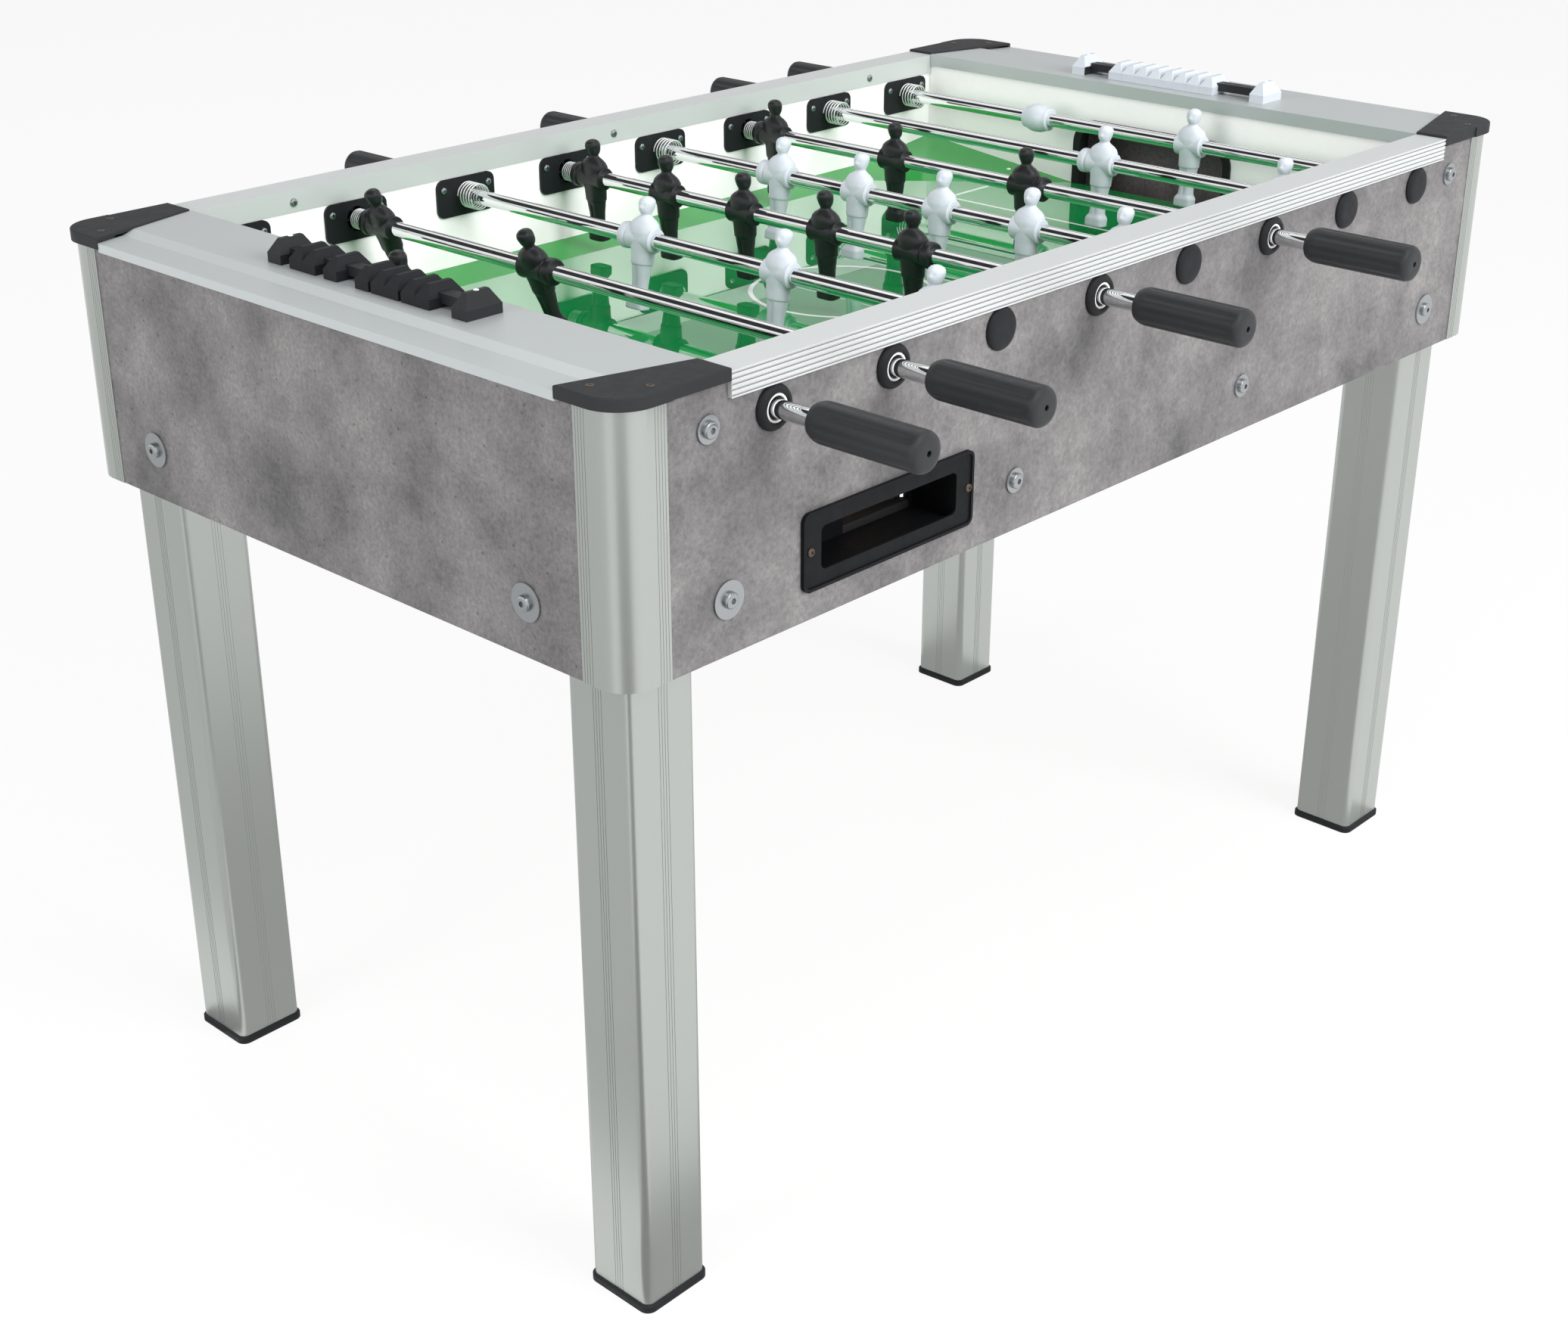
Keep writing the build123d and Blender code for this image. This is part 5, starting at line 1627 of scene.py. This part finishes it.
@dataclass
class RodFittings:
    """What guides the rods in the side walls: rings, liners, blank caps and springs."""

    repeater: Repeater
    winder: SpringWinder
    wall: float = 382.5
    plate_face: float = 349.5
    seat: float = 0.4
    tube_spring: SpringSize = SpringSize(22.4, 13.4, 1.6, 5.0, 1.25)
    core_spring: SpringSize = SpringSize(14.9, 10.25, 1.3, 5.0, 1.0)
    steps: int = 64
    edge_angle: float = math.radians(35)

    def build(self) -> None:
        """Builds the fittings of all rods."""
        outside = [plan.place() @ along_rod(-self.wall, turned=True) for plan in ROWS]
        far_side = [plan.place() @ along_rod(self.wall) for plan in ROWS]
        self.rings(outside)
        self.liners(outside)
        self.caps(far_side)
        self.springs()

    def lathe(self, name: str, profile: Profile, places: Sequence[Matrix], finish: Finish,
              slot: str, replaced: Iterable[str] = (), closed: bool = True) -> None:
        """Sets a turned fitting on every place.

        Args:
            name: Name of the piece.
            profile: Points as radius and height over the wall.
            places: Where the fittings go.
            finish: Their finish.
            slot: The record's material slot; not used.
            replaced: CAD nodes that they stand for.
            closed: True where the profile is a closed loop.
        """
        shape = bmesh.new()
        turn_profile(shape, profile, Matrix.Identity(4), self.steps, closed)
        one = to_mesh(shape, f"{name}_one", self.edge_angle)
        self.repeater.set_piece(name, one, places, finish, slot, replaced=replaced)

    def rings(self, places: Sequence[Matrix]) -> None:
        """Makes the domed rings round the tubes.

        Args:
            places: Where the rods come out of the walls.
        """
        profile = ((12.55, -12.0), (15.4, -12.0), (15.4, 0.05), (19.7, 0.05), (20.0, 0.4),
                   (20.0, 1.6), (19.7, 2.7), (18.9, 4.2), (17.6, 5.7), (16.0, 6.7),
                   (14.8, 7.0), (13.7, 6.8), (12.9, 6.2), (12.55, 5.4))
        self.lathe("rod_rings", profile, places, BLACK_PLASTIC, "black_plastic", ("rod_bushes",))

    def liners(self, places: Sequence[Matrix]) -> None:
        """Makes the white liners and the dark lips in them.

        Args:
            places: Where the rods come out of the walls.
        """
        white = ((10.2, -14.0), (12.5, -14.0), (12.5, 5.0), (12.2, 5.4), (11.8, 5.5),
                 (10.9, 5.5), (10.4, 5.2), (10.2, 4.4))
        self.lathe("white_liners", white, places, WHITE_PLASTIC, "white_plastic",
                   ("bush_liners",))
        lip = ((8.08, -14.0), (10.15, -14.0), (10.15, 3.6), (9.6, 4.0), (8.6, 3.8), (8.08, 3.2))
        self.lathe("liner_lips", lip, places, RECESS, "black_plastic")

    def caps(self, places: Sequence[Matrix]) -> None:
        """Makes the blank caps at the anchored ends.

        Args:
            places: Where the rods end behind the walls.
        """
        profile = ((0.0, -1.0), (15.4, -1.0), (15.4, 0.05), (19.7, 0.05), (20.0, 0.4),
                   (20.0, 1.5), (19.5, 2.8), (18.4, 4.2), (16.8, 5.2), (14.6, 5.75),
                   (11.0, 5.95), (5.0, 6.0), (0.0, 6.0))
        self.lathe("hole_caps", profile, places, BLACK_PLASTIC, "black_plastic", closed=False)

    def springs(self) -> None:
        """Winds the buffer springs at both ends of the rods."""
        start = -self.plate_face + self.seat + self.tube_spring.lift
        near = [plan.place() @ along_rod(start) for plan in ROWS]
        wide = self.winder.wind("tube_springs", self.tube_spring, near, SPRING_STEEL)
        new_piece("tube_springs", wide, SPRING_STEEL, "table", ("rod_springs",))
        start = self.plate_face - self.seat - self.core_spring.lift
        far = [plan.place() @ along_rod(start, turned=True) for plan in ROWS]
        slim = self.winder.wind("core_springs", self.core_spring, far, SPRING_STEEL)
        new_piece("core_springs", slim, SPRING_STEEL, "table", ())


@dataclass(frozen=True)
class ScrewHead:
    """A domed screw head with a cross recess, about Z with its seat at zero."""

    radius: float
    height: float
    recess: float
    arm: float = 0.28
    foot: Profile = ((0.98, -0.2), (1.0, 0.1))
    dome: Profile = ((0.97, 0.35), (0.84, 0.7), (0.6, 0.95), (0.5, 1.0))
    socket: Profile = ((1.0, 1.0), (0.8, 0.3))
    steps: int = 48
    edge_angle: float = math.radians(30)

    def cross(self, angle: float, size: float) -> float:
        """Finds the edge of the cross recess, whose arms are a share of its size.

        Args:
            angle: Angle round the head.
            size: Half the recess's width.

        Returns:
            Reach of the recess at the angle.
        """
        part = abs((angle + math.pi / 4) % (math.pi / 2) - math.pi / 4)
        if part < math.asin(self.arm):
            return size / math.cos(part)
        return self.arm * size / math.sin(part)

    def mesh(self, name: str) -> bpy.types.Mesh:
        """Builds the head: its foot and dome by shares of its size, then the recess.

        Args:
            name: Name of the mesh.

        Returns:
            The head's mesh.
        """
        shape = bmesh.new()
        rims = [(self.radius * share, height) for share, height in self.foot]
        rims += [(self.radius * share, self.height * level) for share, level in self.dome]
        angles = [2.0 * math.pi * k / self.steps for k in range(self.steps)]
        rings = []
        for radius, height in rims:
            rings.append([(radius * math.cos(a), radius * math.sin(a), height) for a in angles])
        for share, level in self.socket:
            reach = [self.cross(a, self.recess * share) for a in angles]
            rings.append([(d * math.cos(a), d * math.sin(a), self.height * level)
                          for d, a in zip(reach, angles)])
        verts = [[shape.verts.new(Vector(p) * MM) for p in ring] for ring in rings]
        stitch(shape, verts, False)
        shape.faces.new(verts[0])
        shape.faces.new(verts[-1])
        return to_mesh(shape, name, self.edge_angle)


@dataclass
class Fasteners:
    """Small screws in the plates, trays, rails, caps, counters and ramps, and the trays' sills."""

    repeater: Repeater
    plate_head: ScrewHead = ScrewHead(3.9, 2.2, 1.9)
    plate_face: float = 349.5
    plate_level: float = 860.0
    plate_reach: float = 31.0
    plate_spins: Span = (0.7, 0.4)
    tray_head: ScrewHead = ScrewHead(4.2, 1.8, 2.0)
    tray_face: float = 385.0
    tray_level: float = 713.0
    tray_ends: Span = (470.5, 260.4)
    sill_outline: Profile = ((-1.4, -3.5), (1.4, -3.5), (1.4, 3.0), (0.9, 3.9), (0.0, 4.2),
                             (-0.9, 3.9), (-1.4, 3.0))
    sill_half: float = 44.8
    sill_spot: Point = (-327.5, -332.0, 690.6)
    skirt_head: ScrewHead = ScrewHead(4.6, 2.4, 2.0)
    skirt_face: float = 350.5
    skirt_level: float = 882.0
    skirt_stops: tuple[float, ...] = (-444.0, 0.0, 444.0)
    cap_head: ScrewHead = ScrewHead(3.7, 0.5, 1.9)
    cap_top: float = 898.0
    cap_spots: tuple[Span, ...] = ((671.0, 339.0), (640.0, 373.0))
    cap_shade_disc: Profile = ((0.0, -0.2), (5.0, -0.2), (5.0, 0.05), (4.6, 0.12), (0.0, 0.12))
    counter_head: ScrewHead = ScrewHead(2.6, 1.0, 1.3)
    counter_spot: Point = (605.0, 129.0, 917.7)
    lift_head: ScrewHead = ScrewHead(2.8, 1.0, 1.4)
    lift_spot: Point = (545.5, 200.8, 772.8)
    lift_slope: Span = (0.1271, 0.1095)
    end_spin: float = 0.5

    def build(self) -> None:
        """Sets the screws of each kind."""
        self.plate_screws()
        self.tray_screws()
        self.gate_sills()
        self.skirt_screws()
        self.cap_screws()
        self.counter_screws()
        self.ramp_screws()

    def plate_screws(self) -> None:
        """Sets two screws in each bearing plate."""
        by_row, by_side = self.plate_spins
        places = []
        for plan in ROWS:
            for side in (-1, 1):
                for step in (-self.plate_reach, self.plate_reach):
                    spot = (plan.x + step, side * self.plate_face, self.plate_level)
                    spin = by_row * plan.index + by_side * side + step
                    places.append(facing(spot, (0.0, -side, 0.0), spin))
        head = self.plate_head.mesh("plate_screw")
        self.repeater.set_piece("plate_screws", head, places, ZINC, "steel")

    def tray_screws(self) -> None:
        """Sets a screw at each end of both ball trays."""
        places = [facing((side * x, side * self.tray_face, self.tray_level), (0.0, side, 0.0), x)
                  for side in (-1, 1) for x in self.tray_ends]
        head = self.tray_head.mesh("tray_screw")
        self.repeater.set_piece("tray_screws", head, places, BRONZED, "steel")

    def gate_sills(self) -> None:
        """Sets a rounded near-black sill, painted shade, in the gate of each ball tray."""
        shape = bmesh.new()
        rings = [[shape.verts.new(Vector((x, y, z)) * MM) for y, z in self.sill_outline]
                 for x in (-self.sill_half, self.sill_half)]
        stitch(shape, rings, False)
        for ring in rings:
            shape.faces.new(ring)
        places = [Matrix.Rotation(turn, 4, "Z") @ facing(self.sill_spot, UP)
                  for turn in (0.0, math.pi)]
        sill = to_mesh(shape, "gate_shade_sill")
        # Painted shade: a near-black piece in each gate, where the inside is dark.
        self.repeater.set_piece("gate_sills", sill, places, RECESS, "black_plastic")

    def skirt_screws(self) -> None:
        """Sets three screws in the inner skirt of both rails."""
        places = [facing((x, side * self.skirt_face, self.skirt_level), (0.0, -side, 0.0), x)
                  for side in (-1, 1) for x in self.skirt_stops]
        head = self.skirt_head.mesh("skirt_screw")
        self.repeater.set_piece("skirt_screws", head, places, ZINC, "steel")

    def cap_screws(self) -> None:
        """Sets two screws in each corner cap on near-black discs, painted shade for their holes."""
        spots = [(end * x, side * y) for end, side in CORNERS for x, y in self.cap_spots]
        places = [facing((x, y, self.cap_top), UP, x + y) for x, y in spots]
        # Painted shade: a flat near-black disc under each screw stands in for its sunk hole.
        shape = bmesh.new()
        turn_profile(shape, self.cap_shade_disc, Matrix.Identity(4))
        shade_disc = to_mesh(shape, "cap_shade_disc")
        self.repeater.set_piece("cap_sinks", shade_disc, places, RECESS, "black_plastic")
        head = self.cap_head.mesh("cap_screw")
        self.repeater.set_piece("cap_screws", head, places, BRONZED, "steel")

    def counter_screws(self) -> None:
        """Sets a pale screw on each end block of the counters."""
        x, y, z = self.counter_spot
        places = [facing((end * x, side * y, z), UP, end * self.end_spin + side)
                  for end, side in CORNERS]
        head = self.counter_head.mesh("counter_screw")
        self.repeater.set_piece("counter_screws", head, places, WHITE_PLASTIC, "white_plastic")

    def ramp_screws(self) -> None:
        """Sets a pale screw in the lift at each corner of the field."""
        x, y, z = self.lift_spot
        along, across = self.lift_slope
        places = [facing((end * x, side * y, z), (-end * along, -side * across, 1.0),
                         end * self.end_spin + side) for end, side in CORNERS]
        head = self.lift_head.mesh("ramp_screw")
        self.repeater.set_piece("ramp_screws", head, places, WHITE_PLASTIC, "white_plastic")


def main() -> None:
    """Builds the table's dress in order."""
    logging.basicConfig(level=logging.INFO, format="%(name)s: %(message)s")
    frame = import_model()
    StudioStage().build()
    CabinetShell().build(frame["nodes"])
    repeater = Repeater("set_on_points")
    RodFittings(repeater, SpringWinder()).build()
    for plan in ROWS:
        PlayerRow(plan, repeater).build()
    ScoreCounters().build(frame["nodes"])
    Fasteners(repeater).build()


if __name__ == "__main__":
    main()
